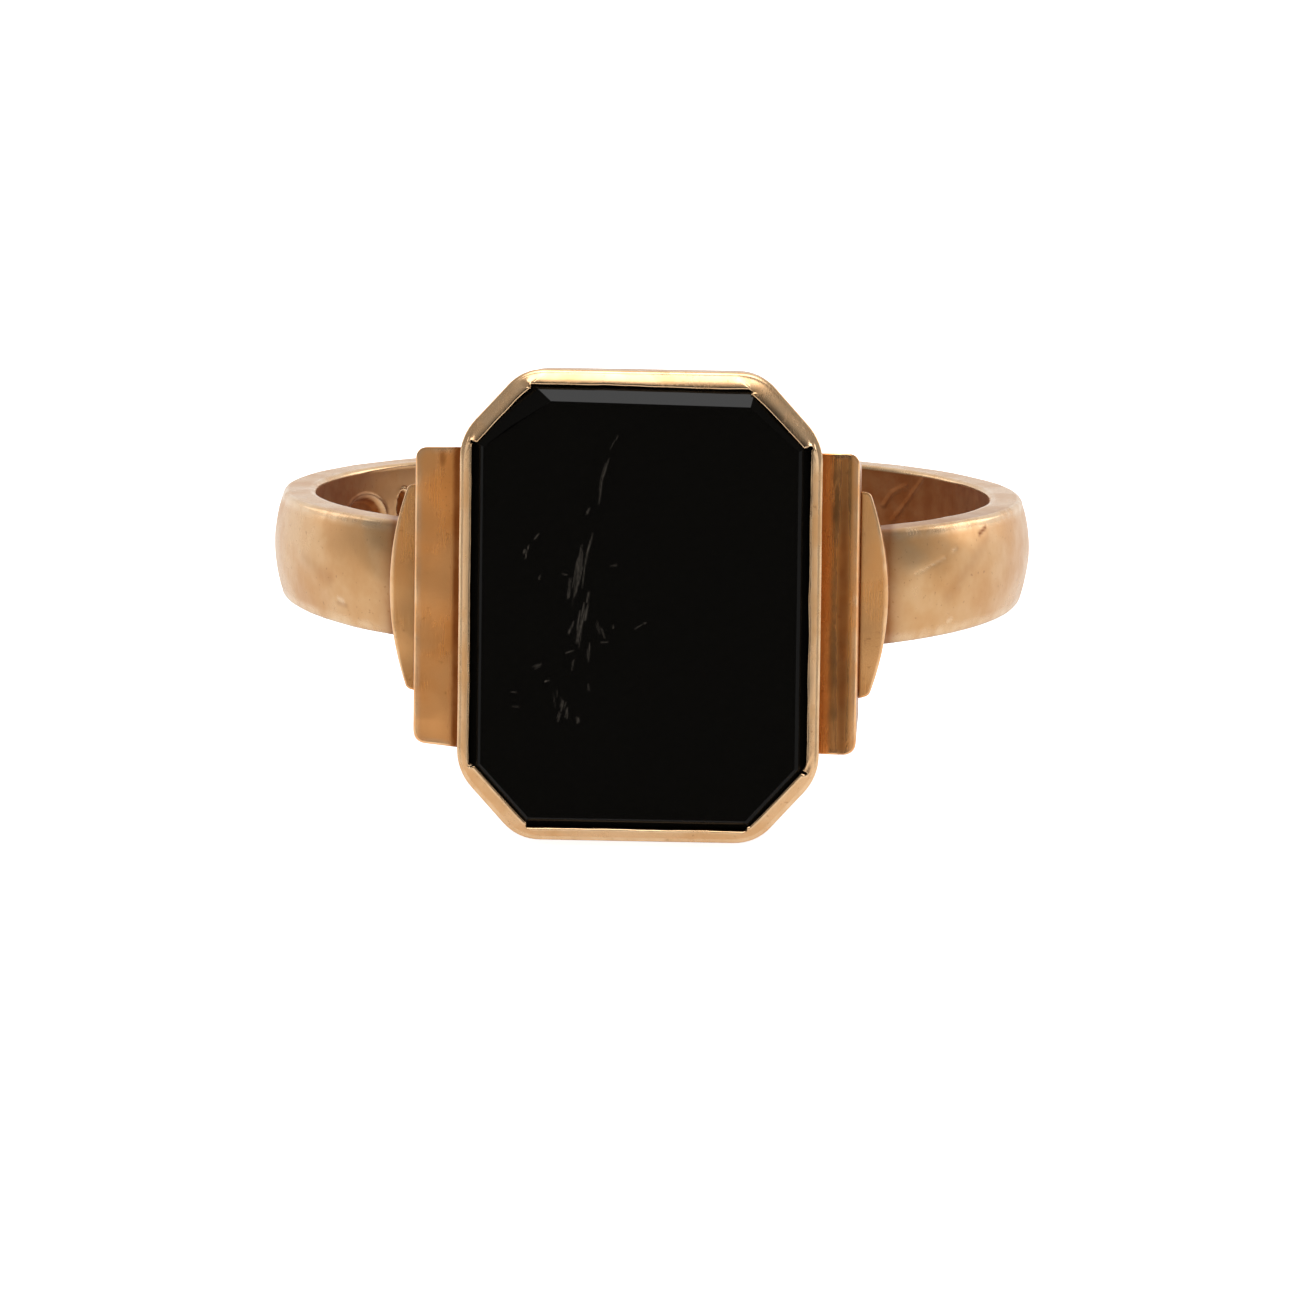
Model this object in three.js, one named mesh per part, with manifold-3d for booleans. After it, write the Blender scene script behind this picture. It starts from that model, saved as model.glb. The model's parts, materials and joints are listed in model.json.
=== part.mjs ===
// Signet ring: a tapered gold band, stepped shoulders, and a cut-corner bezel that holds an onyx plaque.
//
// Millimetres. The ring is modelled in its own axes: X across the finger, Y along the finger and Z out
// through the stone, with the finger's axis on Y. "Level" means a height along Z. The last lines lay the
// finished ring on its side, the way it rests on a table: on the lower back edge of the bezel and on
// the far side of the band.

import * as THREE from 'three';
import Module from 'manifold-3d';
import { mergeVertices } from 'three/addons/utils/BufferGeometryUtils.js';

const wasm = await Module();
wasm.setup();

// ---- Sizes ------------------------------------------------------------------------------------

// The band round the finger
const fingerBore = 18.5; // inside diameter
const bandThickness = 1.11;
const bandWidth = 2.84; // along the finger, measured at the sides of the finger
const bandTaper = 0.02; // growth of the half width for each millimetre towards the stone
const bandCrown = 0.2; // rise of the domed outside above its two edges
const bandEdgeRadius = 0.1; // softened inner edges
const saddleDepth = 0.26; // flat filed on the band for the back plate

// The head: back plate, bezel strap, seat and stone
const headWidth = 9.68; // across the finger, at the rim
const headLength = 12.68; // along the finger, at the rim
const cornerCutAcross = 1.66;
const cornerCutAlong = 1.83;
const cornerRounding = 0.35; // how far each corner is rounded along its two sides
const headOffset = 0.15; // the head is soldered on a little to the right of the middle
const headTaper = 0.11; // how much the bezel leans in for each millimetre of depth
const plateThickness = 0.4;
const bezelDepth = 1.74;
const wallThickness = 0.25;
const rimWidth = 0.35; // the wall and its rubbed-over lip, seen from the front
const lipThickness = 0.14; // the lip at its inner edge
const seatWidth = 0.6;

// The onyx plaque
const stoneThickness = 1.4;
const stoneProud = 0.12; // the table stands this far above the rim
const bevelWidth = 0.31; // the part of the bevel that the rim leaves bare
const bevelHeight = 0.4;

// The stepped shoulders
const barReach = 1.08; // past the side of the head
const barLength = 8.12;
const barDrop = 1.2; // from the rim to the crest of the bar
const barFall = 0.38; // from the crest to the outer edge
const barEndRadius = 0.32;
const moonReach = 0.76; // past the bar, at the middle of the arc
const moonEndReach = 0.2; // past the bar, at the two ends of the arc
const moonLength = 5.6;
const moonDrop = 1.8; // from the crest of the bar to the top of the half-moon
const moonFall = 0.5; // from the half-moon's top to its rounded outer edge
const stepLean = 0.17; // how much the steps' ends lean in for each millimetre of depth

// Fits
const solderGap = 0.03; // each soldered joint, from face to face
const stoneClearance = 0.02; // round and under the stone

// ---- Levels and radii that follow from the sizes -------------------------------------------------

const boreRadius = fingerBore / 2;
const bandOuter = boreRadius + bandThickness;
const bandEdge = bandOuter - bandCrown;
const saddleLevel = bandOuter - saddleDepth;
const plateBottom = saddleLevel + solderGap;
const plateTop = plateBottom + plateThickness;
const wallBottom = plateTop + solderGap;
const rimLevel = wallBottom + bezelDepth;
const tableLevel = rimLevel + stoneProud;
const girdleLevel = tableLevel - bevelHeight;
const stoneBottom = tableLevel - stoneThickness;
const seatTop = stoneBottom - stoneClearance;
const barCrest = rimLevel - barDrop;
const barSide = headWidth / 2 + barReach;
const moonInner = barSide + solderGap;
const moonOuter = barSide + moonReach;
const moonTop = barCrest - moonDrop;
const stepFoot = boreRadius / 2; // inside the band's drum, which cuts the steps' backs
const backHalfWidth = bandWidth / 2 - bandTaper * bandEdge;

const beyond = 1; // cutting solids run this far past what they cut
const roundSegments = 96; // facets round the finger
const curveSegments = 4; // facets on each small curve

// ---- Finishes -------------------------------------------------------------------------------------

const gold = new THREE.MeshStandardMaterial({ color: 0xc9955c, roughness: 0.28, metalness: 1 });
const wornGold = new THREE.MeshStandardMaterial({ color: 0xbf8650, roughness: 0.36, metalness: 1 });
const onyx = new THREE.MeshStandardMaterial({ color: 0x0d0c0a, roughness: 0.12, metalness: 0 });

// ---- Solids ---------------------------------------------------------------------------------------

// A closed geometry as a solid that can be joined and cut.
function solidFrom(geometry) {
  const bare = geometry.clone();
  bare.deleteAttribute('normal');
  bare.deleteAttribute('uv');
  const merged = mergeVertices(bare, 1e-5);
  const vertProperties = new Float32Array(merged.attributes.position.array);
  const triVerts = new Uint32Array(merged.index.array);
  return new wasm.Manifold(new wasm.Mesh({ numProp: 3, vertProperties, triVerts }));
}

// A solid back as a geometry.
function geometryFrom(solid) {
  const mesh = solid.getMesh();
  const geometry = new THREE.BufferGeometry();
  geometry.setAttribute('position', new THREE.BufferAttribute(mesh.vertProperties, 3));
  geometry.setIndex(new THREE.BufferAttribute(mesh.triVerts, 1));
  geometry.computeVertexNormals();
  return geometry;
}

// A flat outline drawn in X and Y, raised along Z from one level to another. Its two ends lean in
// towards the bottom, as the steps of the shoulders do.
function raiseLeaning(shape, bottom, top, halfLength) {
  const geometry = new THREE.ExtrudeGeometry(shape, { depth: top - bottom, bevelEnabled: false, curveSegments });
  geometry.translate(0, 0, bottom);
  const points = geometry.attributes.position;
  for (let i = 0; i < points.count; i += 1) {
    const depth = top - points.getZ(i);
    points.setY(i, points.getY(i) * (1 - (stepLean * depth) / halfLength));
  }
  return solidFrom(geometry);
}

// A section drawn in X and level, run along the finger, centred on the middle of the band.
function runAlongFinger(shape, length) {
  const geometry = new THREE.ExtrudeGeometry(shape, { depth: length, bevelEnabled: false, curveSegments });
  geometry.rotateX(Math.PI / 2);
  geometry.translate(0, length / 2, 0);
  return solidFrom(geometry);
}

// ---- The head's outline ---------------------------------------------------------------------------

// The cut-corner outline of the head, drawn a distance inside the outer edge of the rim. Its cut
// corners keep their slope, so every outline is parallel to the rim.
function headOutline(inset) {
  const halfWidth = headWidth / 2 - inset;
  const halfLength = headLength / 2 - inset;
  const slope = cornerCutAcross + cornerCutAlong - Math.hypot(cornerCutAcross, cornerCutAlong);
  const across = cornerCutAcross - (inset * slope) / cornerCutAlong;
  const along = cornerCutAlong - (inset * slope) / cornerCutAcross;
  const corners = [
    [halfWidth, -halfLength + along],
    [halfWidth, halfLength - along],
    [halfWidth - across, halfLength],
    [-halfWidth + across, halfLength],
    [-halfWidth, halfLength - along],
    [-halfWidth, -halfLength + along],
    [-halfWidth + across, -halfLength],
    [halfWidth - across, -halfLength],
  ].map(([x, y]) => new THREE.Vector2(x, y));
  const shape = new THREE.Shape();
  corners.forEach((corner, i) => {
    const before = corners[(i + corners.length - 1) % corners.length];
    const after = corners[(i + 1) % corners.length];
    const arrive = corner.clone().add(before.clone().sub(corner).setLength(cornerRounding));
    const leave = corner.clone().add(after.clone().sub(corner).setLength(cornerRounding));
    if (i === 0) {
      shape.moveTo(arrive.x, arrive.y);
    } else {
      shape.lineTo(arrive.x, arrive.y);
    }
    shape.quadraticCurveTo(corner.x, corner.y, leave.x, leave.y);
  });
  shape.closePath();
  const points = shape.getPoints(curveSegments);
  if (points[0].distanceTo(points[points.length - 1]) < 1e-6) {
    points.pop();
  }
  return points;
}

// How far a plane of the leaning bezel lies inside the rim's outer edge at some level.
function lean(level) {
  return headTaper * Math.max(0, rimLevel - level);
}

// A solid whose section is the head's outline, with its own inset at each level.
function stack(layers) {
  const rings = layers.map(({ inset }) => headOutline(inset));
  const count = rings[0].length;
  const positions = [];
  layers.forEach(({ level }, k) => {
    rings[k].forEach((point) => positions.push(point.x + headOffset, point.y, level));
  });
  const bottomMiddle = positions.length / 3;
  positions.push(headOffset, 0, layers[0].level);
  const topMiddle = bottomMiddle + 1;
  positions.push(headOffset, 0, layers[layers.length - 1].level);
  const index = [];
  for (let i = 0; i < count; i += 1) {
    const next = (i + 1) % count;
    for (let k = 0; k + 1 < layers.length; k += 1) {
      const low = k * count;
      const high = low + count;
      index.push(low + i, low + next, high + next);
      index.push(low + i, high + next, high + i);
    }
    const last = (layers.length - 1) * count;
    index.push(bottomMiddle, next, i);
    index.push(topMiddle, last + i, last + next);
  }
  const geometry = new THREE.BufferGeometry();
  geometry.setAttribute('position', new THREE.Float32BufferAttribute(positions, 3));
  geometry.setIndex(index);
  return solidFrom(geometry);
}

// ---- Band -----------------------------------------------------------------------------------------

// A ring of domed section, wider towards the stone, with a flat for the head's back plate.
function makeBand() {
  const half = bandWidth / 2;
  const section = new THREE.Path();
  section.moveTo(boreRadius + bandEdgeRadius, -half);
  section.lineTo(bandEdge, -half);
  section.quadraticCurveTo(bandOuter + bandCrown, 0, bandEdge, half);
  section.lineTo(boreRadius + bandEdgeRadius, half);
  section.quadraticCurveTo(boreRadius, half, boreRadius, half - bandEdgeRadius);
  section.lineTo(boreRadius, -half + bandEdgeRadius);
  section.quadraticCurveTo(boreRadius, -half, boreRadius + bandEdgeRadius, -half);
  const ring = new THREE.LatheGeometry(section.getPoints(2 * curveSegments), roundSegments);
  const points = ring.attributes.position;
  for (let i = 0; i < points.count; i += 1) {
    points.setY(i, points.getY(i) * (1 + (bandTaper * points.getZ(i)) / half));
  }
  const filed = new THREE.BoxGeometry(fingerBore, fingerBore, 2 * beyond);
  filed.translate(0, 0, saddleLevel + beyond);
  return solidFrom(ring).subtract(solidFrom(filed));
}

// Everything inside this drum belongs to the finger and the band.
function bandDrum() {
  const radius = bandOuter + solderGap;
  return solidFrom(new THREE.CylinderGeometry(radius, radius, headLength + 2 * beyond, roundSegments));
}

// ---- Head -----------------------------------------------------------------------------------------

function makeBackPlate() {
  return stack([
    { level: plateBottom, inset: lean(plateBottom) },
    { level: plateTop, inset: lean(plateTop) },
  ]);
}

// The strap stands on the back plate, leans in towards it, and its lip follows the stone's bevel.
function makeBezelStrap() {
  const outside = stack([
    { level: wallBottom, inset: lean(wallBottom) },
    { level: rimLevel, inset: 0 },
  ]);
  const inside = stack([
    { level: wallBottom - beyond, inset: wallThickness + lean(wallBottom - beyond) },
    { level: girdleLevel, inset: wallThickness + lean(girdleLevel) },
    { level: rimLevel - lipThickness, inset: rimWidth },
    { level: rimLevel + beyond, inset: rimWidth },
  ]);
  return outside.subtract(inside);
}

// The ledge inside the strap that the stone sits on.
function makeStoneSeat() {
  const outer = wallThickness + solderGap;
  const outside = stack([
    { level: wallBottom, inset: outer + lean(wallBottom) },
    { level: seatTop, inset: outer + lean(seatTop) },
  ]);
  const inside = stack([
    { level: wallBottom - beyond, inset: outer + seatWidth + lean(wallBottom) },
    { level: seatTop + beyond, inset: outer + seatWidth + lean(wallBottom) },
  ]);
  return outside.subtract(inside);
}

// A flat table with a bevel all round, and sides that lean in with the strap.
function makeStone() {
  const edge = wallThickness + stoneClearance;
  return stack([
    { level: stoneBottom, inset: edge + lean(stoneBottom) },
    { level: girdleLevel, inset: edge + lean(girdleLevel) },
    { level: tableLevel, inset: rimWidth + bevelWidth },
  ]);
}

// The room that the head takes, so that the shoulders can be fitted to its leaning sides.
function headRoom() {
  return stack([
    { level: saddleLevel - beyond, inset: lean(saddleLevel - beyond) - solderGap },
    { level: rimLevel, inset: -solderGap },
    { level: rimLevel + beyond, inset: -solderGap },
  ]);
}

// ---- Shoulders ------------------------------------------------------------------------------------

// A tall bar beside the head. Its front is rounded and falls away to the outer side; its back
// sits on the band. The side is 1 on the right and -1 on the left.
function makeShoulderBar(side) {
  const inner = side * (headWidth / 2 - beyond);
  const outer = side * barSide;
  const crestAt = side * (headWidth / 2 + barReach / 3);
  const section = new THREE.Shape();
  section.moveTo(inner, stepFoot);
  section.lineTo(outer, stepFoot);
  section.lineTo(outer, barCrest - barFall);
  section.quadraticCurveTo((crestAt + outer) / 2, barCrest, crestAt, barCrest);
  section.lineTo(inner, barCrest);
  section.closePath();

  const end = barLength / 2;
  const front = new THREE.Shape();
  front.moveTo(inner, -end);
  front.lineTo(outer - side * barEndRadius, -end);
  front.quadraticCurveTo(outer, -end, outer, -end + barEndRadius);
  front.lineTo(outer, end - barEndRadius);
  front.quadraticCurveTo(outer, end, outer - side * barEndRadius, end);
  front.lineTo(inner, end);
  front.closePath();

  return runAlongFinger(section, barLength)
    .intersect(raiseLeaning(front, stepFoot, barCrest, end))
    .subtract(bandDrum())
    .subtract(headRoom());
}

// The lower step: a plate against the bar's side with an arc for its outer edge.
function makeHalfMoon(side) {
  const inner = side * moonInner;
  const outer = side * moonOuter;
  const section = new THREE.Shape();
  section.moveTo(inner, stepFoot);
  section.lineTo(outer, stepFoot);
  section.lineTo(outer, moonTop - moonFall);
  section.quadraticCurveTo((inner + outer) / 2, moonTop, inner, moonTop);
  section.closePath();

  const end = moonLength / 2;
  const rise = moonReach - moonEndReach;
  const radius = (end * end + rise * rise) / (2 * rise);
  const spread = Math.asin(end / radius);
  const middle = moonOuter - radius;
  const arcSteps = 4 * curveSegments;
  const outline = [new THREE.Vector2(inner, -end)];
  for (let i = 0; i <= arcSteps; i += 1) {
    const angle = spread * ((2 * i) / arcSteps - 1);
    outline.push(new THREE.Vector2(side * (middle + radius * Math.cos(angle)), radius * Math.sin(angle)));
  }
  outline.push(new THREE.Vector2(inner, end));

  return runAlongFinger(section, moonLength)
    .intersect(raiseLeaning(new THREE.Shape(outline), stepFoot, moonTop, end))
    .subtract(bandDrum());
}

// ---- The assembly ---------------------------------------------------------------------------------

const ring = new THREE.Group();

function addPiece(name, solid, finish) {
  const mesh = new THREE.Mesh(geometryFrom(solid), finish);
  mesh.name = name;
  ring.add(mesh);
}

addPiece('shank', makeBand(), gold);
addPiece('back_plate', makeBackPlate(), wornGold);
addPiece('bezel_strap', makeBezelStrap(), gold);
addPiece('stone_seat', makeStoneSeat(), wornGold);
addPiece('onyx_plaque', makeStone(), onyx);
for (const [name, side] of [['left', -1], ['right', 1]]) {
  addPiece(`${name}_shoulder_bar`, makeShoulderBar(side), wornGold);
  addPiece(`${name}_half_moon`, makeHalfMoon(side), gold);
}

// Laid on its side: the ring turns until its lowest two edges touch the table together, the back
// plate's lower edge and the edge of the band at the far side of the finger.
const plateDrop = headLength / 2 - lean(plateBottom);
const restAngle = Math.atan2(plateDrop - backHalfWidth, plateBottom + bandEdge);
ring.rotation.x = Math.PI / 2 - restAngle;

const signetRing = new THREE.Group();
signetRing.add(ring);
signetRing.updateMatrixWorld(true);
const box = new THREE.Box3().setFromObject(signetRing, true);
ring.position.set(-(box.min.x + box.max.x) / 2, -(box.min.y + box.max.y) / 2, -box.min.z);

export default signetRing;
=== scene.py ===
"""A worn rose-gold signet ring with an onyx plaque, lying on its side on a pale table.

Sizes are millimetres in the ring's own axes: X across the finger, Y along the finger and Z out through the
stone, with the finger's axis on Y. Each piece is built in those axes, and one matrix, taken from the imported
model's stone_table mount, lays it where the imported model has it.
"""

import json
import logging
import math
from dataclasses import dataclass
from enum import Enum

import bmesh
import bpy
import numpy as np
from mathutils import Matrix, Vector


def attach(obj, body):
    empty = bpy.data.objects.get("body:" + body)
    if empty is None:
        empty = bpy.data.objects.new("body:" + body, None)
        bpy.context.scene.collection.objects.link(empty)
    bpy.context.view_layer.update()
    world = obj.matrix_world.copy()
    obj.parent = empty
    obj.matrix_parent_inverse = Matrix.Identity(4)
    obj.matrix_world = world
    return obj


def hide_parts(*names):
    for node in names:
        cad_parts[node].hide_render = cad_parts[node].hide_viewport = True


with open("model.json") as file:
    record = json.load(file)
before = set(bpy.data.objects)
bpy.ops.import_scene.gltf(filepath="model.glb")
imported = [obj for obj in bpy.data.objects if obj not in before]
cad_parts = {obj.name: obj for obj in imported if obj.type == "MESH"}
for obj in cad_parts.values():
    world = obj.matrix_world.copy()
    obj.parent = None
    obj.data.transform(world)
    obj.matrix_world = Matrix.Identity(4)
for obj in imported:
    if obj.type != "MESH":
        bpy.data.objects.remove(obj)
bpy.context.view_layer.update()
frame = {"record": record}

LOG = logging.getLogger("signet_ring")
MM = 0.001
Socket = bpy.types.NodeSocket


class Side(Enum):
    """The side of the head that a shoulder is on, as a sign along X."""

    LEFT = -1
    RIGHT = 1


class Slot(Enum):
    """The record's material slots."""

    ROSE_GOLD = "rose_gold"
    WORN_GOLD = "worn_rose_gold"
    ONYX = "black_onyx"


# ---- Sizes ------------------------------------------------------------------------------------------


@dataclass(frozen=True)
class RingSizes:
    """The driving sizes that the pieces share."""

    bore_radius: float = 9.25
    band_thickness: float = 1.11
    band_width: float = 2.84
    band_taper: float = 0.02
    band_crown: float = 0.2
    saddle_depth: float = 0.26
    solder_gap: float = 0.03
    stone_clearance: float = 0.02
    head_width: float = 9.68
    head_length: float = 12.68
    cut_across: float = 1.66
    cut_along: float = 1.83
    head_offset: float = 0.15
    head_taper: float = 0.11
    plate_thickness: float = 0.4
    bezel_depth: float = 1.74
    wall_thickness: float = 0.25
    rim_width: float = 0.35
    stone_proud: float = 0.12
    bevel_width: float = 0.31
    bevel_height: float = 0.4
    stone_thickness: float = 1.4
    bar_reach: float = 1.08
    bar_drop: float = 1.2

    @property
    def band_outer(self) -> float:
        """Radius of the crown of the band."""
        return self.bore_radius + self.band_thickness

    @property
    def band_edge(self) -> float:
        """Radius of the band's outer edges."""
        return self.band_outer - self.band_crown

    @property
    def saddle_level(self) -> float:
        """Level of the flat filed on the band."""
        return self.band_outer - self.saddle_depth

    @property
    def plate_bottom(self) -> float:
        """Level of the underside of the back plate."""
        return self.saddle_level + self.solder_gap

    @property
    def wall_bottom(self) -> float:
        """Level that the bezel strap stands on."""
        return self.plate_bottom + self.plate_thickness + self.solder_gap

    @property
    def rim_level(self) -> float:
        """Level of the highest edge of the rim."""
        return self.wall_bottom + self.bezel_depth

    @property
    def table_level(self) -> float:
        """Level of the stone's flat table."""
        return self.rim_level + self.stone_proud

    @property
    def girdle_level(self) -> float:
        """Level where the stone's bevel starts."""
        return self.table_level - self.bevel_height

    @property
    def stone_bottom(self) -> float:
        """Level of the stone's underside."""
        return self.table_level - self.stone_thickness

    @property
    def bar_side(self) -> float:
        """Distance across from the middle of the ring to the outer side of a shoulder bar."""
        return self.head_width / 2 + self.bar_reach

    def lean(self, level: float) -> float:
        """How far the bezel has leaned in at a level."""
        return self.head_taper * max(0.0, self.rim_level - level)


SIZES = RingSizes()


@dataclass(frozen=True)
class RingAxes:
    """Where the ring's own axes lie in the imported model."""

    matrix: Matrix

    @classmethod
    def from_record(cls, record: dict, sizes: RingSizes) -> "RingAxes":
        """Finds the axes from the mount on the stone's table.

        Args:
            record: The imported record.
            sizes: The ring's sizes.

        Returns:
            The axes, with the finger's axis through their origin.
        """
        mount = next(m for m in record["mounts"] if m["name"] == "stone_table")
        outward = Vector(mount["axis"]).normalized()
        across = Vector((1.0, 0.0, 0.0))
        along = outward.cross(across)
        table = outward * sizes.table_level + across * sizes.head_offset
        turn = Matrix((across, along, outward)).transposed().to_4x4()
        return cls(Matrix.Translation(Vector(mount["pos_m"]) - table * MM) @ turn)

    def lay(self, name: str, mesh: bpy.types.Mesh) -> bpy.types.Object:
        """Makes an object of a mesh drawn in the ring's axes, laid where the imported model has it.

        Args:
            name: The object's name.
            mesh: The mesh, in metres in the ring's axes.

        Returns:
            The new object, with nothing below the table.
        """
        mesh.transform(self.matrix)
        for vertex in mesh.vertices:
            vertex.co.z = max(vertex.co.z, 0.0)
        piece = bpy.data.objects.new(name, mesh)
        bpy.context.scene.collection.objects.link(piece)
        return piece


# ---- Shapes -----------------------------------------------------------------------------------------


def ripple(points: np.ndarray, wavelength: float, seed: int, waves: int = 9) -> np.ndarray:
    """A soft, repeatable unevenness, as hand work leaves.

    Args:
        points: Places in millimetres, with three numbers on the last axis.
        wavelength: The usual distance from one swell to the next.
        seed: Which unevenness.
        waves: How many plain waves are summed.

    Returns:
        Values of about -1 to 1, one for each place.
    """
    draw = np.random.default_rng(seed)
    ways = draw.normal(size=(waves, 3))
    ways /= np.linalg.norm(ways, axis=1)[:, None]
    rates = 2 * math.pi / (wavelength * draw.uniform(0.7, 1.8, waves))
    phases = draw.uniform(0, 2 * math.pi, waves)
    return np.sin(points @ (ways * rates[:, None]).T + phases).sum(-1) / math.sqrt(waves)


def smooth_step(low: float, high: float, value: np.ndarray) -> np.ndarray:
    """Rises smoothly from 0 at low to 1 at high."""
    t = np.clip((value - low) / (high - low), 0, 1)
    return t * t * (3 - 2 * t)


def to_segment(
    points: np.ndarray, start: tuple[float, float] | np.ndarray, end: tuple[float, float] | np.ndarray
) -> tuple[np.ndarray, np.ndarray]:
    """Distance from flat places to a segment, and where along it the nearest point is.

    Args:
        points: Flat places, two numbers on the last axis.
        start: One end of the segment.
        end: The other end.

    Returns:
        The distances, and the shares of the way from start to end.
    """
    a, b = np.array(start), np.array(end)
    run = b - a
    share = np.clip(((points - a) @ run) / (run @ run), 0, 1)
    return np.linalg.norm(points - (a + share[..., None] * run), axis=-1), share


@dataclass
class Skin:
    """Loops of points that make a closed skin, with how worn and how grimy each point is."""

    points: np.ndarray
    closed_on_itself: bool
    wear: np.ndarray
    crevice: np.ndarray

    def faces(self) -> list[tuple[int, int, int, int]]:
        """The quads between neighbouring loops.

        Returns:
            The four point numbers of each quad.
        """
        rows, columns = self.points.shape[:2]
        spans = rows if self.closed_on_itself else rows - 1
        low = np.arange(spans)[:, None] * columns + np.arange(columns)[None, :]
        low_next = np.roll(low, -1, axis=1)
        high = (low + columns) % (rows * columns)
        high_next = np.roll(high, -1, axis=1)
        return np.stack([low, low_next, high_next, high], axis=-1).reshape(-1, 4).tolist()

    def to_object(self, name: str, axes: RingAxes) -> bpy.types.Object:
        """Makes the mesh object and lays it in place.

        Args:
            name: The piece's name.
            axes: The ring's axes.

        Returns:
            The new object, linked to the scene.
        """
        mesh = bpy.data.meshes.new(name)
        mesh.from_pydata((self.points.reshape(-1, 3) * MM).tolist(), [], self.faces())
        for label, values in (("wear", self.wear), ("crevice", self.crevice)):
            layer = mesh.attributes.new(label, "FLOAT", "POINT")
            layer.data.foreach_set("value", np.clip(values, 0, 1).reshape(-1).astype(np.float32))
        draft = bmesh.new()
        draft.from_mesh(mesh)
        bmesh.ops.remove_doubles(draft, verts=draft.verts, dist=1e-7)
        bmesh.ops.dissolve_degenerate(draft, edges=draft.edges, dist=1e-8)
        bmesh.ops.recalc_face_normals(draft, faces=draft.faces)
        draft.to_mesh(mesh)
        draft.free()
        mesh.shade_smooth()
        return axes.lay(name, mesh)


def spaced_to_ends(count: int) -> np.ndarray:
    """Shares from 0 up to 1, without 1, that lie closer together near both ends."""
    t = np.arange(count) / count
    return 0.5 * t + 0.5 * (0.5 - 0.5 * np.cos(math.pi * t))


def soft_turn(
    arrive: np.ndarray, corner: np.ndarray, leave: np.ndarray, shares: np.ndarray
) -> list[np.ndarray]:
    """Points of a soft turn round a corner, at some shares of the way."""
    return [(1 - t) ** 2 * arrive + 2 * t * (1 - t) * corner + t * t * leave for t in shares]


def towards(start: np.ndarray, end: np.ndarray, distance: float) -> np.ndarray:
    """The place at a distance from one point towards another."""
    return start + (end - start) / np.linalg.norm(end - start) * distance


def head_outline(
    sizes: RingSizes, inset: float, rounding: float, side_steps: int = 64, corner_steps: int = 8
) -> np.ndarray:
    """The head's cut-corner outline, a distance inside the rim's outer edge.

    Args:
        sizes: The ring's sizes.
        inset: How far inside the outer edge.
        rounding: How far each corner is rounded along its two sides.
        side_steps: Points on each side.
        corner_steps: Points on each corner.

    Returns:
        The outline's points, counter-clockwise, the same number for every inset.
    """
    half_width = sizes.head_width / 2 - inset
    half_length = sizes.head_length / 2 - inset
    slope = sizes.cut_across + sizes.cut_along - math.hypot(sizes.cut_across, sizes.cut_along)
    across = sizes.cut_across - inset * slope / sizes.cut_along
    along = sizes.cut_along - inset * slope / sizes.cut_across
    quarter = [(half_width, half_length - along), (half_width - across, half_length)]
    corners = [np.array(c) for c in quarter]
    corners += [np.array((-x, y)) for x, y in reversed(quarter)]
    corners += [np.array((-x, -y)) for x, y in quarter]
    corners += [np.array((x, -y)) for x, y in reversed(quarter)]
    points = []
    for i, corner in enumerate(corners):
        before, after = corners[i - 1], corners[(i + 1) % 8]
        leave = towards(corner, after, rounding)
        shares = np.arange(corner_steps) / corner_steps
        points += soft_turn(towards(corner, before, rounding), corner, leave, shares)
        reach = towards(after, corner, rounding)
        points += [leave + (reach - leave) * t for t in spaced_to_ends(side_steps)]
    return np.array(points) + np.array((sizes.head_offset, 0.0))


def inward_normals(outline: np.ndarray) -> np.ndarray:
    """Unit normals that point into a counter-clockwise outline.

    Args:
        outline: The outline, counter-clockwise.

    Returns:
        One unit normal for each point.
    """
    run = np.roll(outline, -1, axis=0) - np.roll(outline, 1, axis=0)
    run /= np.linalg.norm(run, axis=1)[:, None]
    return np.stack([-run[:, 1], run[:, 0]], axis=1)


def quarter_turn(steps: int) -> np.ndarray:
    """Angles from 0 to a right angle."""
    return np.linspace(0, math.pi / 2, steps)


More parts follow.
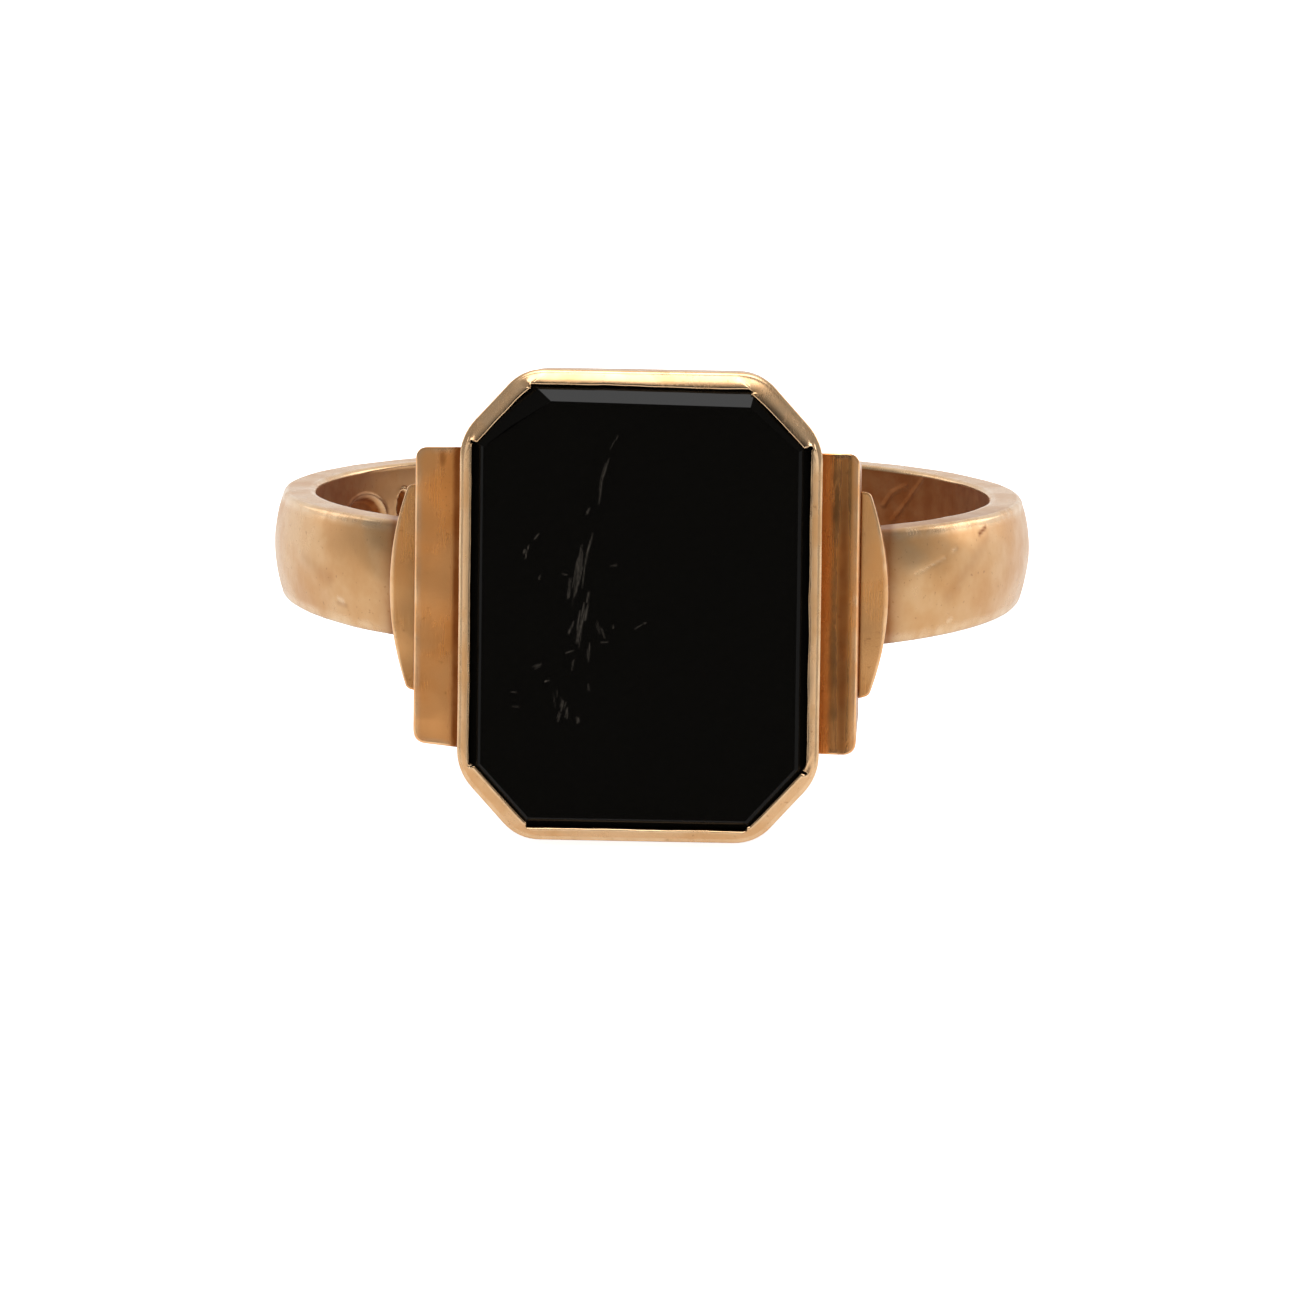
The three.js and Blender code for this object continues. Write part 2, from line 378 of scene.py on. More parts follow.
@dataclass
class Plateau:
    """A plate with an outline, a shaped front, a shaped back, leaning sides and a softened front edge."""

    outline: np.ndarray
    spine: np.ndarray
    front_level: "LevelRule"
    back_level: "LevelRule"
    side_shift: "ShiftRule"
    edge_radius: float
    side_rows: int = 8
    front_rows: int = 12

    def skin(self) -> Skin:
        """Builds the loops from the middle of the back, up the side, to the middle of the front.

        Returns:
            A skin whose first and last loops close on the spine.
        """
        reach = np.linalg.norm(self.spine - self.outline, axis=1)
        loops, wear = [], []

        def inside(distance: np.ndarray) -> np.ndarray:
            """The outline moved towards the spine by a distance."""
            share = np.minimum(distance / reach, 1.0)
            return self.outline + (self.spine - self.outline) * share[:, None]

        for share in np.linspace(1, 0.0, self.front_rows, endpoint=False):
            flat = inside(reach * share)
            loops.append(self._lifted(flat, self.back_level(flat)))
            wear.append(0.0)
        top = self.front_level(self.outline) - self.edge_radius
        foot = self.back_level(self.outline)
        for share in np.linspace(0, 1, self.side_rows):
            loops.append(self._lifted(self.outline, foot + (top - foot) * share))
            wear.append(share**4)
        for angle in quarter_turn(6)[1:]:
            flat = inside(np.full(len(reach), self.edge_radius * (1 - math.cos(angle))))
            level = self.front_level(flat) - self.edge_radius * (1 - math.sin(angle))
            loops.append(self._lifted(flat, level))
            wear.append(1.0)
        for share in np.linspace(0, 1, self.front_rows)[1:]:
            start = self.edge_radius / reach
            flat = inside(reach * (start + (1 - start) * share))
            loops.append(self._lifted(flat, self.front_level(flat)))
            wear.append(max(0.0, 1 - 4 * share))
        points = np.array(loops)
        worn = np.repeat(np.array(wear)[:, None], points.shape[1], axis=1)
        return Skin(points, False, worn, np.zeros(points.shape[:2]))

    def _lifted(self, flat: np.ndarray, level: np.ndarray) -> np.ndarray:
        """Puts flat points at their levels, with the sides' lean."""
        return np.column_stack([self.side_shift(flat, level), level])


class LevelRule:
    """A level, in millimetres, for each flat place."""

    def __call__(self, flat: np.ndarray) -> np.ndarray:
        """The levels of the places."""
        raise NotImplementedError


@dataclass
class FlatLevel(LevelRule):
    """The same level everywhere."""

    level: float

    def __call__(self, flat: np.ndarray) -> np.ndarray:
        """The levels of the places."""
        return np.full(len(flat), self.level)


@dataclass
class DrumLevel(LevelRule):
    """The level of a drum round the finger, for the backs that sit on the band."""

    radius: float

    def __call__(self, flat: np.ndarray) -> np.ndarray:
        """The levels of the places."""
        return np.sqrt(self.radius**2 - flat[:, 0] ** 2)


@dataclass(frozen=True)
class Crown:
    """The section across a step, from the side next to the head to the outer side.

    Shares run from 0 at the inner side to 1 at the outer side. The crest is where the curve is level, the
    tilt is the whole fall of a straight slope, and the chamfer's fall comes on top of both.
    """

    crest_at: float
    curve: float
    chamfer_from: float
    chamfer_fall: float
    tilt: float = 0.0

    def fall(self, share: np.ndarray) -> np.ndarray:
        """How far the surface is below its crest at each share.

        Args:
            share: Shares of the way across.

        Returns:
            How far each place is below the crest, in millimetres.
        """
        beyond = np.clip((share - self.chamfer_from) / (1 - self.chamfer_from), 0, 1)
        rounded = self.curve * (share - self.crest_at) ** 2
        return self.tilt * share + rounded + self.chamfer_fall * beyond**1.4


@dataclass
class CrownedLevel(LevelRule):
    """A crest with a section across it and a little unevenness."""

    side: Side
    crest: float
    crown: Crown
    inner: float
    outer: float
    unevenness: float
    seed: int

    def __call__(self, flat: np.ndarray) -> np.ndarray:
        """The levels of the places.

        Args:
            flat: X and Y of the places.

        Returns:
            One level for each place.
        """
        share = np.clip((self.side.value * flat[:, 0] - self.inner) / (self.outer - self.inner), 0, 1)
        places = np.column_stack([flat, np.full(len(flat), self.crest)])
        uneven = np.maximum(ripple(places, 1.6, self.seed) + 1, 0)
        return self.crest - self.crown.fall(share) - self.unevenness * uneven


class ShiftRule:
    """How far the sides of a plate lean at each level."""

    def __call__(self, flat: np.ndarray, level: np.ndarray) -> np.ndarray:
        """The flat places after leaning."""
        raise NotImplementedError


@dataclass
class HeadLean(ShiftRule):
    """The lean of the head: in towards its middle, measured from some level down."""

    sizes: RingSizes
    from_level: float

    def __call__(self, flat: np.ndarray, level: np.ndarray) -> np.ndarray:
        """The flat places after leaning.

        Args:
            flat: X and Y of the places.
            level: Their levels.

        Returns:
            The moved X and Y.
        """
        inset = self.sizes.head_taper * (self.from_level - level)
        middle = np.array((self.sizes.head_offset, 0.0))
        half = np.array((self.sizes.head_width / 2, self.sizes.head_length / 2))
        return middle + (flat - middle) * (1 - inset[:, None] / half)


@dataclass
class StepLean(ShiftRule):
    """The lean of a shoulder's step: its ends lean in, and its inner side follows the head."""

    side: Side
    half_length: float
    from_level: float
    end_lean: float
    inner: float
    outer: float
    inner_lean: float

    def __call__(self, flat: np.ndarray, level: np.ndarray) -> np.ndarray:
        """The flat places after leaning.

        Args:
            flat: X and Y of the places.
            level: Their levels.

        Returns:
            The moved X and Y.
        """
        depth = self.from_level - level
        near = np.clip((self.outer - self.side.value * flat[:, 0]) / (self.outer - self.inner), 0, 1)
        x = flat[:, 0] - self.side.value * near * self.inner_lean * depth
        y = flat[:, 1] * (1 - self.end_lean * depth / self.half_length)
        return np.column_stack([x, y])


# ---- Node graphs ------------------------------------------------------------------------------------


class Desk:
    """Adds and links nodes in one node tree."""

    def __init__(self, tree: bpy.types.NodeTree) -> None:
        """Starts with an empty tree."""
        self.tree = tree
        tree.nodes.clear()

    def node(self, kind: str, **settings: object) -> bpy.types.Node:
        """Adds a node and sets its properties.

        Args:
            kind: The node's type.
            settings: Properties to set on it.

        Returns:
            The new node.
        """
        made = self.tree.nodes.new(kind)
        for name, value in settings.items():
            setattr(made, name, value)
        return made

    def feed(self, target: Socket, source: object) -> None:
        """Links a socket to another, or sets its value.

        Args:
            target: The input to feed.
            source: A socket to link, or a value to set.
        """
        if isinstance(source, bpy.types.NodeSocket):
            self.tree.links.new(source, target)
        else:
            target.default_value = source

    def maths(self, operation: str, *inputs: object, clamp: bool = False) -> Socket:
        """One step of arithmetic on sockets or numbers.

        Args:
            operation: Which step.
            inputs: Sockets or numbers, in order.
            clamp: Whether to keep the result from 0 to 1.

        Returns:
            The result.
        """
        node = self.node("ShaderNodeMath", operation=operation, use_clamp=clamp)
        for target, source in zip(node.inputs, inputs):
            self.feed(target, source)
        return node.outputs[0]

    def vector(self, operation: str, *inputs: object) -> bpy.types.Node:
        """One step of arithmetic on vectors.

        Args:
            operation: Which step.
            inputs: Sockets or vectors, in order.

        Returns:
            The node, for its outputs.
        """
        node = self.node("ShaderNodeVectorMath", operation=operation)
        for target, source in zip(node.inputs, inputs):
            self.feed(target, source)
        return node

    def ramp(
        self, value: object, low: float, high: float, out_low: float = 0.0, out_high: float = 1.0
    ) -> Socket:
        """A smooth rise of a value from one range to another.

        Args:
            value: The value.
            low: Where the rise starts.
            high: Where it ends.
            out_low: The result at the start.
            out_high: The result at the end.

        Returns:
            The result.
        """
        node = self.node("ShaderNodeMapRange", interpolation_type="SMOOTHSTEP")
        for label, source in zip(
            ("Value", "From Min", "From Max", "To Min", "To Max"), (value, low, high, out_low, out_high)
        ):
            self.feed(node.inputs[label], source)
        return node.outputs["Result"]

    def noise(self, place: Socket, scale: object, detail: float = 2.0, roughness: float = 0.5) -> Socket:
        """A noise value of about 0 to 1.

        Args:
            place: Where it is looked up.
            scale: How fine it is, in swells per millimetre.
            detail: How many finer layers it has.
            roughness: How strong the finer layers are.

        Returns:
            The noise.
        """
        node = self.node("ShaderNodeTexNoise")
        self.feed(node.inputs["Vector"], place)
        self.feed(node.inputs["Scale"], scale)
        node.inputs["Detail"].default_value = detail
        node.inputs["Roughness"].default_value = roughness
        return node.outputs["Fac"]

    def mix(self, share: object, first: object, second: object) -> Socket:
        """A mix of two colours.

        Args:
            share: How much of the second colour.
            first: One colour.
            second: The other colour.

        Returns:
            The mixed colour.
        """
        node = self.node("ShaderNodeMix", data_type="RGBA")
        self.feed(node.inputs["Factor"], share)
        colours = [s for s in node.inputs if s.type == "RGBA"]
        self.feed(colours[0], first)
        self.feed(colours[1], second)
        return next(s for s in node.outputs if s.type == "RGBA")


class EffectGroup:
    """A shader node group with named inputs and outputs, made once and used by many materials."""

    def __init__(self, name: str, inputs: dict[str, tuple[str, object]], outputs: tuple[str, ...]) -> None:
        """Makes the group's sockets.

        Args:
            name: The group's name.
            inputs: Each input's socket type and first value.
            outputs: The names of the value outputs.
        """
        self.tree = bpy.data.node_groups.new(name, "ShaderNodeTree")
        for label, (kind, value) in inputs.items():
            made = self.tree.interface.new_socket(name=label, in_out="INPUT", socket_type=kind)
            if value is not None:
                made.default_value = value
        for label in outputs:
            self.tree.interface.new_socket(name=label, in_out="OUTPUT", socket_type="NodeSocketFloat")
        self.desk = Desk(self.tree)
        self.given = self.desk.node("NodeGroupInput").outputs
        self.result = self.desk.node("NodeGroupOutput").inputs

    def place(self, desk: Desk, **values: object) -> bpy.types.NodeOutputs:
        """Puts the group in a material.

        Args:
            desk: The material's desk.
            values: A socket or number for each input, with _ for a space in its name.

        Returns:
            The group's outputs.
        """
        node = desk.node("ShaderNodeGroup", node_tree=self.tree)
        for label, value in values.items():
            desk.feed(node.inputs[label.replace("_", " ")], value)
        return node.outputs


FLOAT = "NodeSocketFloat"
VECTOR = "NodeSocketVector"


class Effects:
    """The effects that the ring's materials share."""

    def __init__(self) -> None:
        """Builds each group once."""
        self.hairlines = self._hairlines()
        self.patina = self._patina()
        self.edges = self._edges()

    @staticmethod
    def _hairlines() -> EffectGroup:
        """Fine polishing scratches that run in two directions, broken up in patches.

        Returns:
            The group.
        """
        group = EffectGroup(
            "hairline_scratches",
            {"Place": (VECTOR, None), "Fineness": (FLOAT, 9.0), "Amount": (FLOAT, 0.5)},
            ("Mask", "Height"),
        )
        desk, given = group.desk, group.given
        layers = []
        for turn, stretch in ((0.35, 0.06), (-0.9, 0.09), (1.4, 0.05)):
            mapping = desk.node("ShaderNodeMapping")
            desk.feed(mapping.inputs["Vector"], given["Place"])
            mapping.inputs["Rotation"].default_value = (turn * 0.6, turn, turn)
            mapping.inputs["Scale"].default_value = (1.0, stretch, 1.0)
            lines = desk.noise(mapping.outputs["Vector"], given["Fineness"], 1.0)
            ridge = desk.maths("ABSOLUTE", desk.maths("SUBTRACT", lines, 0.5))
            layers.append(desk.ramp(ridge, 0.03, 0.0))
        most = desk.maths("MAXIMUM", desk.maths("MAXIMUM", layers[0], layers[1]), layers[2])
        patches = desk.ramp(desk.noise(given["Place"], 0.9, 3.0), 0.42, 0.62)
        mask = desk.maths("MULTIPLY", desk.maths("MULTIPLY", most, patches), given["Amount"])
        desk.feed(group.result["Mask"], mask)
        desk.feed(group.result["Height"], desk.maths("MULTIPLY", mask, -1.0))
        return group

    @staticmethod
    def _patina() -> EffectGroup:
        """Slow changes in colour and polish, and small specks.

        Returns:
            The group.
        """
        group = EffectGroup(
            "skin_patina",
            {"Place": (VECTOR, None), "Size": (FLOAT, 0.5)},
            ("Clouds", "Specks", "Grain"),
        )
        desk, given = group.desk, group.given
        clouds = desk.noise(given["Place"], given["Size"], 4.0, 0.6)
        desk.feed(group.result["Clouds"], desk.ramp(clouds, 0.35, 0.68))
        specks = desk.noise(given["Place"], 7.0, 2.0)
        desk.feed(group.result["Specks"], desk.ramp(specks, 0.66, 0.74))
        desk.feed(group.result["Grain"], desk.noise(given["Place"], 34.0, 2.0))
        return group

    @staticmethod
    def _edges() -> EffectGroup:
        """Rubbed edges, and grime with painted shade in the corners, each broken up a little.

        Returns:
            The group.
        """
        group = EffectGroup(
            "edge_wear_and_shade",
            {"Place": (VECTOR, None), "Wear": (FLOAT, 0.0), "Crevice": (FLOAT, 0.0)},
            ("Rubbed", "Grime_and_shade"),
        )
        desk, given = group.desk, group.given
        broken = desk.ramp(desk.noise(given["Place"], 2.4, 3.0), 0.3, 0.65, 0.35, 1.0)
        desk.feed(group.result["Rubbed"], desk.maths("MULTIPLY", given["Wear"], broken))
        # The crevice mask, broken up a little: it carries painted shade as well as grime.
        uneven = desk.ramp(desk.noise(given["Place"], 1.7, 4.0), 0.25, 0.7, 0.88, 1.06)
        desk.feed(group.result["Grime_and_shade"], desk.maths("MULTIPLY", given["Crevice"], uneven, clamp=True))
        return group


def place_in_mm(desk: Desk, axes: RingAxes) -> Socket:
    """The place on the ring, in millimetres in the ring's own axes.

    Args:
        desk: The material's desk.
        axes: The ring's axes.

    Returns:
        The place, as a socket.
    """
    mapping = desk.node("ShaderNodeMapping", vector_type="TEXTURE")
    desk.feed(mapping.inputs["Vector"], desk.node("ShaderNodeTexCoord").outputs["Object"])
    mapping.inputs["Location"].default_value = axes.matrix.to_translation()
    mapping.inputs["Rotation"].default_value = axes.matrix.to_euler()
    mapping.inputs["Scale"].default_value = (MM, MM, MM)
    return mapping.outputs["Vector"]


def raised(desk: Desk, height: Socket, strength: float, depth: float) -> Socket:
    """A normal bent by a height.

    Args:
        desk: The material's desk.
        height: The height, from 0 to 1.
        strength: How much of the bend is kept.
        depth: What a height of 1 stands for, in millimetres.

    Returns:
        The normal.
    """
    bump = desk.node("ShaderNodeBump")
    bump.inputs["Strength"].default_value = strength
    bump.inputs["Distance"].default_value = depth * MM
    desk.feed(bump.inputs["Height"], height)
    return bump.outputs["Normal"]


def attribute(desk: Desk, name: str) -> Socket:
    """A value stored on the mesh's points."""
    return desk.node("ShaderNodeAttribute", attribute_name=name).outputs["Fac"]


@dataclass(frozen=True)
class GoldFinish:
    """Rose gold: its colours, its polish and how worn it is."""

    name: str
    slot: Slot
    colour: tuple[float, float, float] = (0.83, 0.48, 0.23)
    dull: tuple[float, float, float] = (0.72, 0.36, 0.14)
    # The dark colour below is used for specks of grime, and for the painted shade that the crevice mask lays
    # in corners and recesses.
    grime_and_shade: tuple[float, float, float] = (0.24, 0.068, 0.014)
    rubbed: tuple[float, float, float] = (0.95, 0.68, 0.42)
    roughness: float = 0.26
    roughness_spread: float = 0.08
    scratches: float = 0.5
    specks: float = 0.35
    rubbing: float = 0.55
    bump: float = 0.35
    bump_depth: float = 0.004

    def material(self, effects: Effects, axes: RingAxes) -> bpy.types.Material:
        """Builds the material.

        Args:
            effects: The shared effect groups.
            axes: The ring's axes.

        Returns:
            The new material.
        """
        made = bpy.data.materials.new(self.name)
        made.use_nodes = True
        desk = Desk(made.node_tree)
        place = place_in_mm(desk, axes)
        patina = effects.patina.place(desk, Place=place, Size=0.45)
        lines = effects.hairlines.place(desk, Place=place, Fineness=5.0, Amount=self.scratches)
        edges = effects.edges.place(
            desk, Place=place, Wear=attribute(desk, "wear"), Crevice=attribute(desk, "crevice")
        )
        colour = desk.mix(patina["Clouds"], (*self.colour, 1), (*self.dull, 1))
        colour = desk.mix(desk.maths("MULTIPLY", patina["Specks"], self.specks), colour, (*self.grime_and_shade, 1))
        colour = desk.mix(desk.maths("MULTIPLY", edges["Rubbed"], self.rubbing), colour, (*self.rubbed, 1))
        # Painted shade: the crevice mask darkens the colour towards the dark grime colour.
        colour = desk.mix(edges["Grime_and_shade"], colour, (*self.grime_and_shade, 1))
        spread = desk.maths("MULTIPLY", patina["Clouds"], self.roughness_spread)
        rough = desk.maths("ADD", spread, self.roughness)
        rough = desk.maths("ADD", rough, desk.maths("MULTIPLY", lines["Mask"], 0.12))
        rough = desk.maths("ADD", rough, desk.maths("MULTIPLY", edges["Grime_and_shade"], 0.2))
        rough = desk.maths("SUBTRACT", rough, desk.maths("MULTIPLY", edges["Rubbed"], 0.1), clamp=True)
        height = desk.maths("ADD", lines["Height"], desk.maths("MULTIPLY", patina["Grain"], 0.15))
        normal = raised(desk, height, self.bump, self.bump_depth)
        surface = desk.node("ShaderNodeBsdfPrincipled")
        surface.inputs["Metallic"].default_value = 1.0
        desk.feed(surface.inputs["Base Color"], colour)
        desk.feed(surface.inputs["Roughness"], rough)
        desk.feed(surface.inputs["Normal"], normal)
        desk.feed(desk.node("ShaderNodeOutputMaterial").inputs["Surface"], surface.outputs[0])
        return made


@dataclass(frozen=True)
class OnyxFinish:
    """Polished black onyx, scratched down its table and dirty on the bevels under the rim."""

    name: str = "black_onyx_polish"
    slot: Slot = Slot.ONYX
    colour: tuple[float, float, float] = (0.0028, 0.0025, 0.002)
    scratch: tuple[float, float, float] = (0.13, 0.112, 0.092)
    roughness: float = 0.07
    index: float = 1.54
    body_gloss: float = 0.06
    polish: float = 0.8
    polish_index: float = 1.5
    scratch_dulling: float = 0.5
    hairlines: float = 0.25
    bump: float = 0.25
    bump_depth: float = 0.004

    def material(self, effects: Effects, axes: RingAxes) -> bpy.types.Material:
        """Builds the material.

        Args:
            effects: The shared effect groups.
            axes: The ring's axes.

        Returns:
            The new material.
        """
        made = bpy.data.materials.new(self.name)
        made.use_nodes = True
        desk = Desk(made.node_tree)
        place = place_in_mm(desk, axes)
        mask = attribute(desk, "scratch")
        lines = effects.hairlines.place(desk, Place=place, Fineness=3.0, Amount=self.hairlines)
        patina = effects.patina.place(desk, Place=place, Size=0.5)
        colour = desk.mix(mask, (*self.colour, 1), (*self.scratch, 1))
        rough = desk.maths("ADD", desk.maths("MULTIPLY", patina["Clouds"], 0.03), self.roughness)
        rough = desk.maths("ADD", rough, desk.maths("MULTIPLY", mask, 0.35))
        rough = desk.maths("ADD", rough, desk.maths("MULTIPLY", lines["Mask"], 0.15), clamp=True)
        height = desk.maths("SUBTRACT", desk.maths("MULTIPLY", lines["Height"], 0.3), mask)
        normal = raised(desk, height, self.bump, self.bump_depth)
        surface = desk.node("ShaderNodeBsdfPrincipled")
        surface.inputs["IOR"].default_value = self.index
        surface.inputs["Specular IOR Level"].default_value = self.body_gloss
        surface.inputs["Coat IOR"].default_value = self.polish_index
        surface.inputs["Coat Roughness"].default_value = self.roughness
        dirt = desk.maths("MULTIPLY", attribute(desk, "crevice"), self.polish)
        polish = desk.maths("SUBTRACT", self.polish, dirt)
        dulled = desk.maths("MULTIPLY", mask, self.scratch_dulling)
        polish = desk.maths("SUBTRACT", polish, dulled, clamp=True)
        desk.feed(surface.inputs["Coat Weight"], polish)
        desk.feed(surface.inputs["Base Color"], colour)
        desk.feed(surface.inputs["Roughness"], rough)
        desk.feed(surface.inputs["Normal"], normal)
        desk.feed(desk.node("ShaderNodeOutputMaterial").inputs["Surface"], surface.outputs[0])
        return made


class Wardrobe:
    """The ring's materials, each built once."""

    def __init__(self, axes: RingAxes) -> None:
        """Builds the effects and the finishes.

        Args:
            axes: The ring's axes.
        """
        effects = Effects()
        finishes = {
            "band": GoldFinish(
                "band_rose_gold",
                Slot.ROSE_GOLD,
                (0.71, 0.448, 0.23),
                (0.63, 0.34, 0.14),
                rubbed=(0.88, 0.66, 0.43),
            ),
            "bezel": GoldFinish(
                "bezel_rose_gold", Slot.ROSE_GOLD, (0.79, 0.495, 0.265), (0.7, 0.38, 0.16), bump=0.3
            ),
            "steps": GoldFinish(
                "shoulder_rose_gold", Slot.WORN_GOLD, (0.86, 0.4, 0.14), (0.76, 0.3, 0.08), roughness=0.19
            ),
            "moons": GoldFinish(
                "half_moon_rose_gold", Slot.ROSE_GOLD, (0.8, 0.41, 0.16), (0.72, 0.32, 0.1), roughness=0.19
            ),
            "inside": GoldFinish("inside_rose_gold", Slot.WORN_GOLD, roughness=0.38),
            "onyx": OnyxFinish(),
        }
        self.slots = {key: finish.slot for key, finish in finishes.items()}
        self.materials = {key: finish.material(effects, axes) for key, finish in finishes.items()}

    def dress(self, piece: bpy.types.Object, key: str, node: str) -> None:
        """Gives a piece its material, and sets it in the place of its CAD node.

        Args:
            piece: The piece.
            key: Which finish.
            node: The CAD node that the piece stands for.
        """
        piece.data.materials.append(self.materials[key])
        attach(piece, "root")
        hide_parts(node)
        LOG.info("%s: %d faces, for %s, in %s", piece.name, len(piece.data.polygons), node, key)


# ---- Band -------------------------------------------------------------------------------------------


@dataclass(frozen=True)
class Stroke:
    """A cut in a surface from one place to another, as X and Y on the ring."""

    start: tuple[float, float]
    end: tuple[float, float]
    width: float = 0.05
    depth: float = 0.03


@dataclass(frozen=True)
class Punch:
    """A plain round punch mark with a raised lip, as X and Y on the ring."""

    centre: tuple[float, float]
    half_round: float = 0.85
    half_along: float = 0.6
    depth: float = 0.1


@dataclass
class Band:
    """The tapered, domed band, with its punch marks inside and its knocks outside."""

    sizes: RingSizes = SIZES
    round_steps: int = 1080
    inner_radius: float = 0.14
    outer_radius: float = 0.17
    unevenness: float = 0.012
    moon_reach: float = 0.76
    # Painted shade on the band's outside next to the half-moons: its depth, and how fast it fades.
    shoulder_shade: float = 0.8
    shoulder_fade: float = 0.22
    # Painted shade over the inner face, and the patch near the punch marks where it is lifted.
    bore_shade: float = 0.9
    unshaded_middle: tuple[float, float] = (-7.05, 0.5)
    unshaded_reach: tuple[float, float] = (1.05, 1.0)
    side_wear: float = 0.15
    side_shade: float = 0.35
    mark_grime: float = 14.0
    knock_shine: float = 90.0
    lip_shine: float = 50.0
    lip_height: float = 0.025
    lip_at: float = 1.08
    lip_width: float = 0.08
    punches: tuple[Punch, ...] = (
        Punch((-8.23, -0.1), 1.05, 0.66, 0.18),
        Punch((-7.2, 0.1), 0.26, 0.45, 0.14),
    )
    strokes: tuple[Stroke, ...] = (
        Stroke((6.2, 0.2), (6.45, 0.6)),
        Stroke((6.45, 0.6), (6.85, 0.86)),
        Stroke((6.45, -0.2), (7.3, 1.12)),
    )
    knocks: tuple[Stroke, ...] = (
        Stroke((7.38, 0.3), (7.75, 0.45), 0.035, 0.006),
        Stroke((7.8, 0.48), (8.15, 0.62), 0.035, 0.008),
        Stroke((8.36, 0.78), (8.45, 0.82), 0.045, 0.008),
        Stroke((-8.25, -0.8), (-8.1, -0.86), 0.08, 0.012),
        Stroke((8.25, -1.15), (8.35, -1.1), 0.06, 0.012),
    )
    # Dark smudges: grime, and one long soft streak that is a painted reflection.
    smudges_and_reflection: tuple[Stroke, ...] = (
        Stroke((9.05, 1.08), (9.2, 1.2), 0.06, 0.9),
        # A painted reflection: a long soft dark streak across the right of the band.
        Stroke((9.25, 0.95), (8.25, -0.45), 0.25, 0.16),
        Stroke((-8.25, -0.92), (-8.0, -0.95), 0.07, 0.3),
        Stroke((-9.3, 0.1), (-8.5, -0.3), 0.2, 0.15),
    )

    def section(self) -> tuple[np.ndarray, np.ndarray, np.ndarray]:
        """The band's section at the sides of the finger.

        Returns:
            The points as radius and Y, how worn each is, and which are on the inner face.
        """
        s, half = self.sizes, self.sizes.band_width / 2
        inner = np.linspace(-half + self.inner_radius, half - self.inner_radius, 56)
        rows = [(s.bore_radius, y, 0.0, True) for y in inner]
        for a in quarter_turn(6)[1:]:
            r = s.bore_radius + self.inner_radius * (1 - math.cos(a))
            rows.append((r, half - self.inner_radius * (1 - math.sin(a)), 0.8, False))
        side_end = s.band_edge - self.outer_radius
        for r in np.linspace(s.bore_radius + self.inner_radius, side_end, 9)[1:]:
            rows.append((r, half, self.side_wear, False))
        for a in quarter_turn(6)[1:]:
            r = side_end + self.outer_radius * math.sin(a)
            rows.append((r, half - self.outer_radius * (1 - math.cos(a)), 1.0, False))
        top = half - self.outer_radius
        for y in np.linspace(top, 0, 23)[1:]:
            crown = s.band_edge + s.band_crown * (1 - (y / top) ** 2)
            rows.append((crown, y, max(0.0, 1 - (top - y) / 0.15), False))
        upper = rows[len(inner) :]
        lower = [(r, -y, w, i) for r, y, w, i in reversed(upper[:-1])]
        whole = rows + lower
        return (
            np.array([(r, y) for r, y, _, _ in whole]),
            np.array([w for _, _, w, _ in whole]),
            np.array([i for _, _, _, i in whole]),
        )

    def build(self, axes: RingAxes) -> bpy.types.Object:
        """Sweeps the section round the finger, cuts the marks and lays on the wear, the grime and the painted
        shade.

        Args:
            axes: The ring's axes.

        Returns:
            The band.
        """
        s = self.sizes
        section, wear, inner = self.section()
        turn = np.linspace(0, 2 * math.pi, self.round_steps, endpoint=False)[:, None]
        radius = np.repeat(section[None, :, 0], self.round_steps, axis=0)
        y = np.repeat(section[None, :, 1], self.round_steps, axis=0)
        rest_z = radius * np.cos(turn)
        y = y * (1 + s.band_taper * rest_z / (s.band_width / 2))
        rough_place = np.stack([radius * np.sin(turn), y, rest_z], axis=-1)
        uneven = ripple(rough_place, 3.2, 11) + 0.35 * ripple(rough_place, 0.9, 12)
        radius = radius + self.unevenness * np.minimum(uneven - 0.6, 0.0) * np.where(inner, -0.5, 1.0)
        y = y - 0.006 * np.sign(y) * np.abs(ripple(rough_place, 2.1, 13))
        x = radius * np.sin(turn)
        back = np.cos(turn) < 0
        flat = np.stack([x, y], axis=-1)
        marks = self._marks(flat)
        radius = radius + np.where(inner & back, marks, 0.0)
        radius = radius - np.where(~inner & ~back, self._knocks(flat), 0.0)
        points = np.stack([radius * np.sin(turn), y, radius * np.cos(turn)], axis=-1)
        points[..., 2] = np.minimum(points[..., 2], s.saddle_level)
        worn = np.repeat(wear[None, :], self.round_steps, axis=0)
        worn = np.maximum(worn, np.where(~inner & ~back, self._knocks(flat) * self.knock_shine, 0.0))
        worn = np.maximum(worn, np.where(inner & back, np.clip(-marks * self.lip_shine, 0, 1), 0.0))
        side_face = np.isclose(wear, self.side_wear) & (y > 0)
        inner = np.broadcast_to(inner, x.shape)
        grime_and_shade = self._grime_and_shade(points, flat, marks, inner, side_face)
        return Skin(points, True, worn, grime_and_shade).to_object("band", axes)

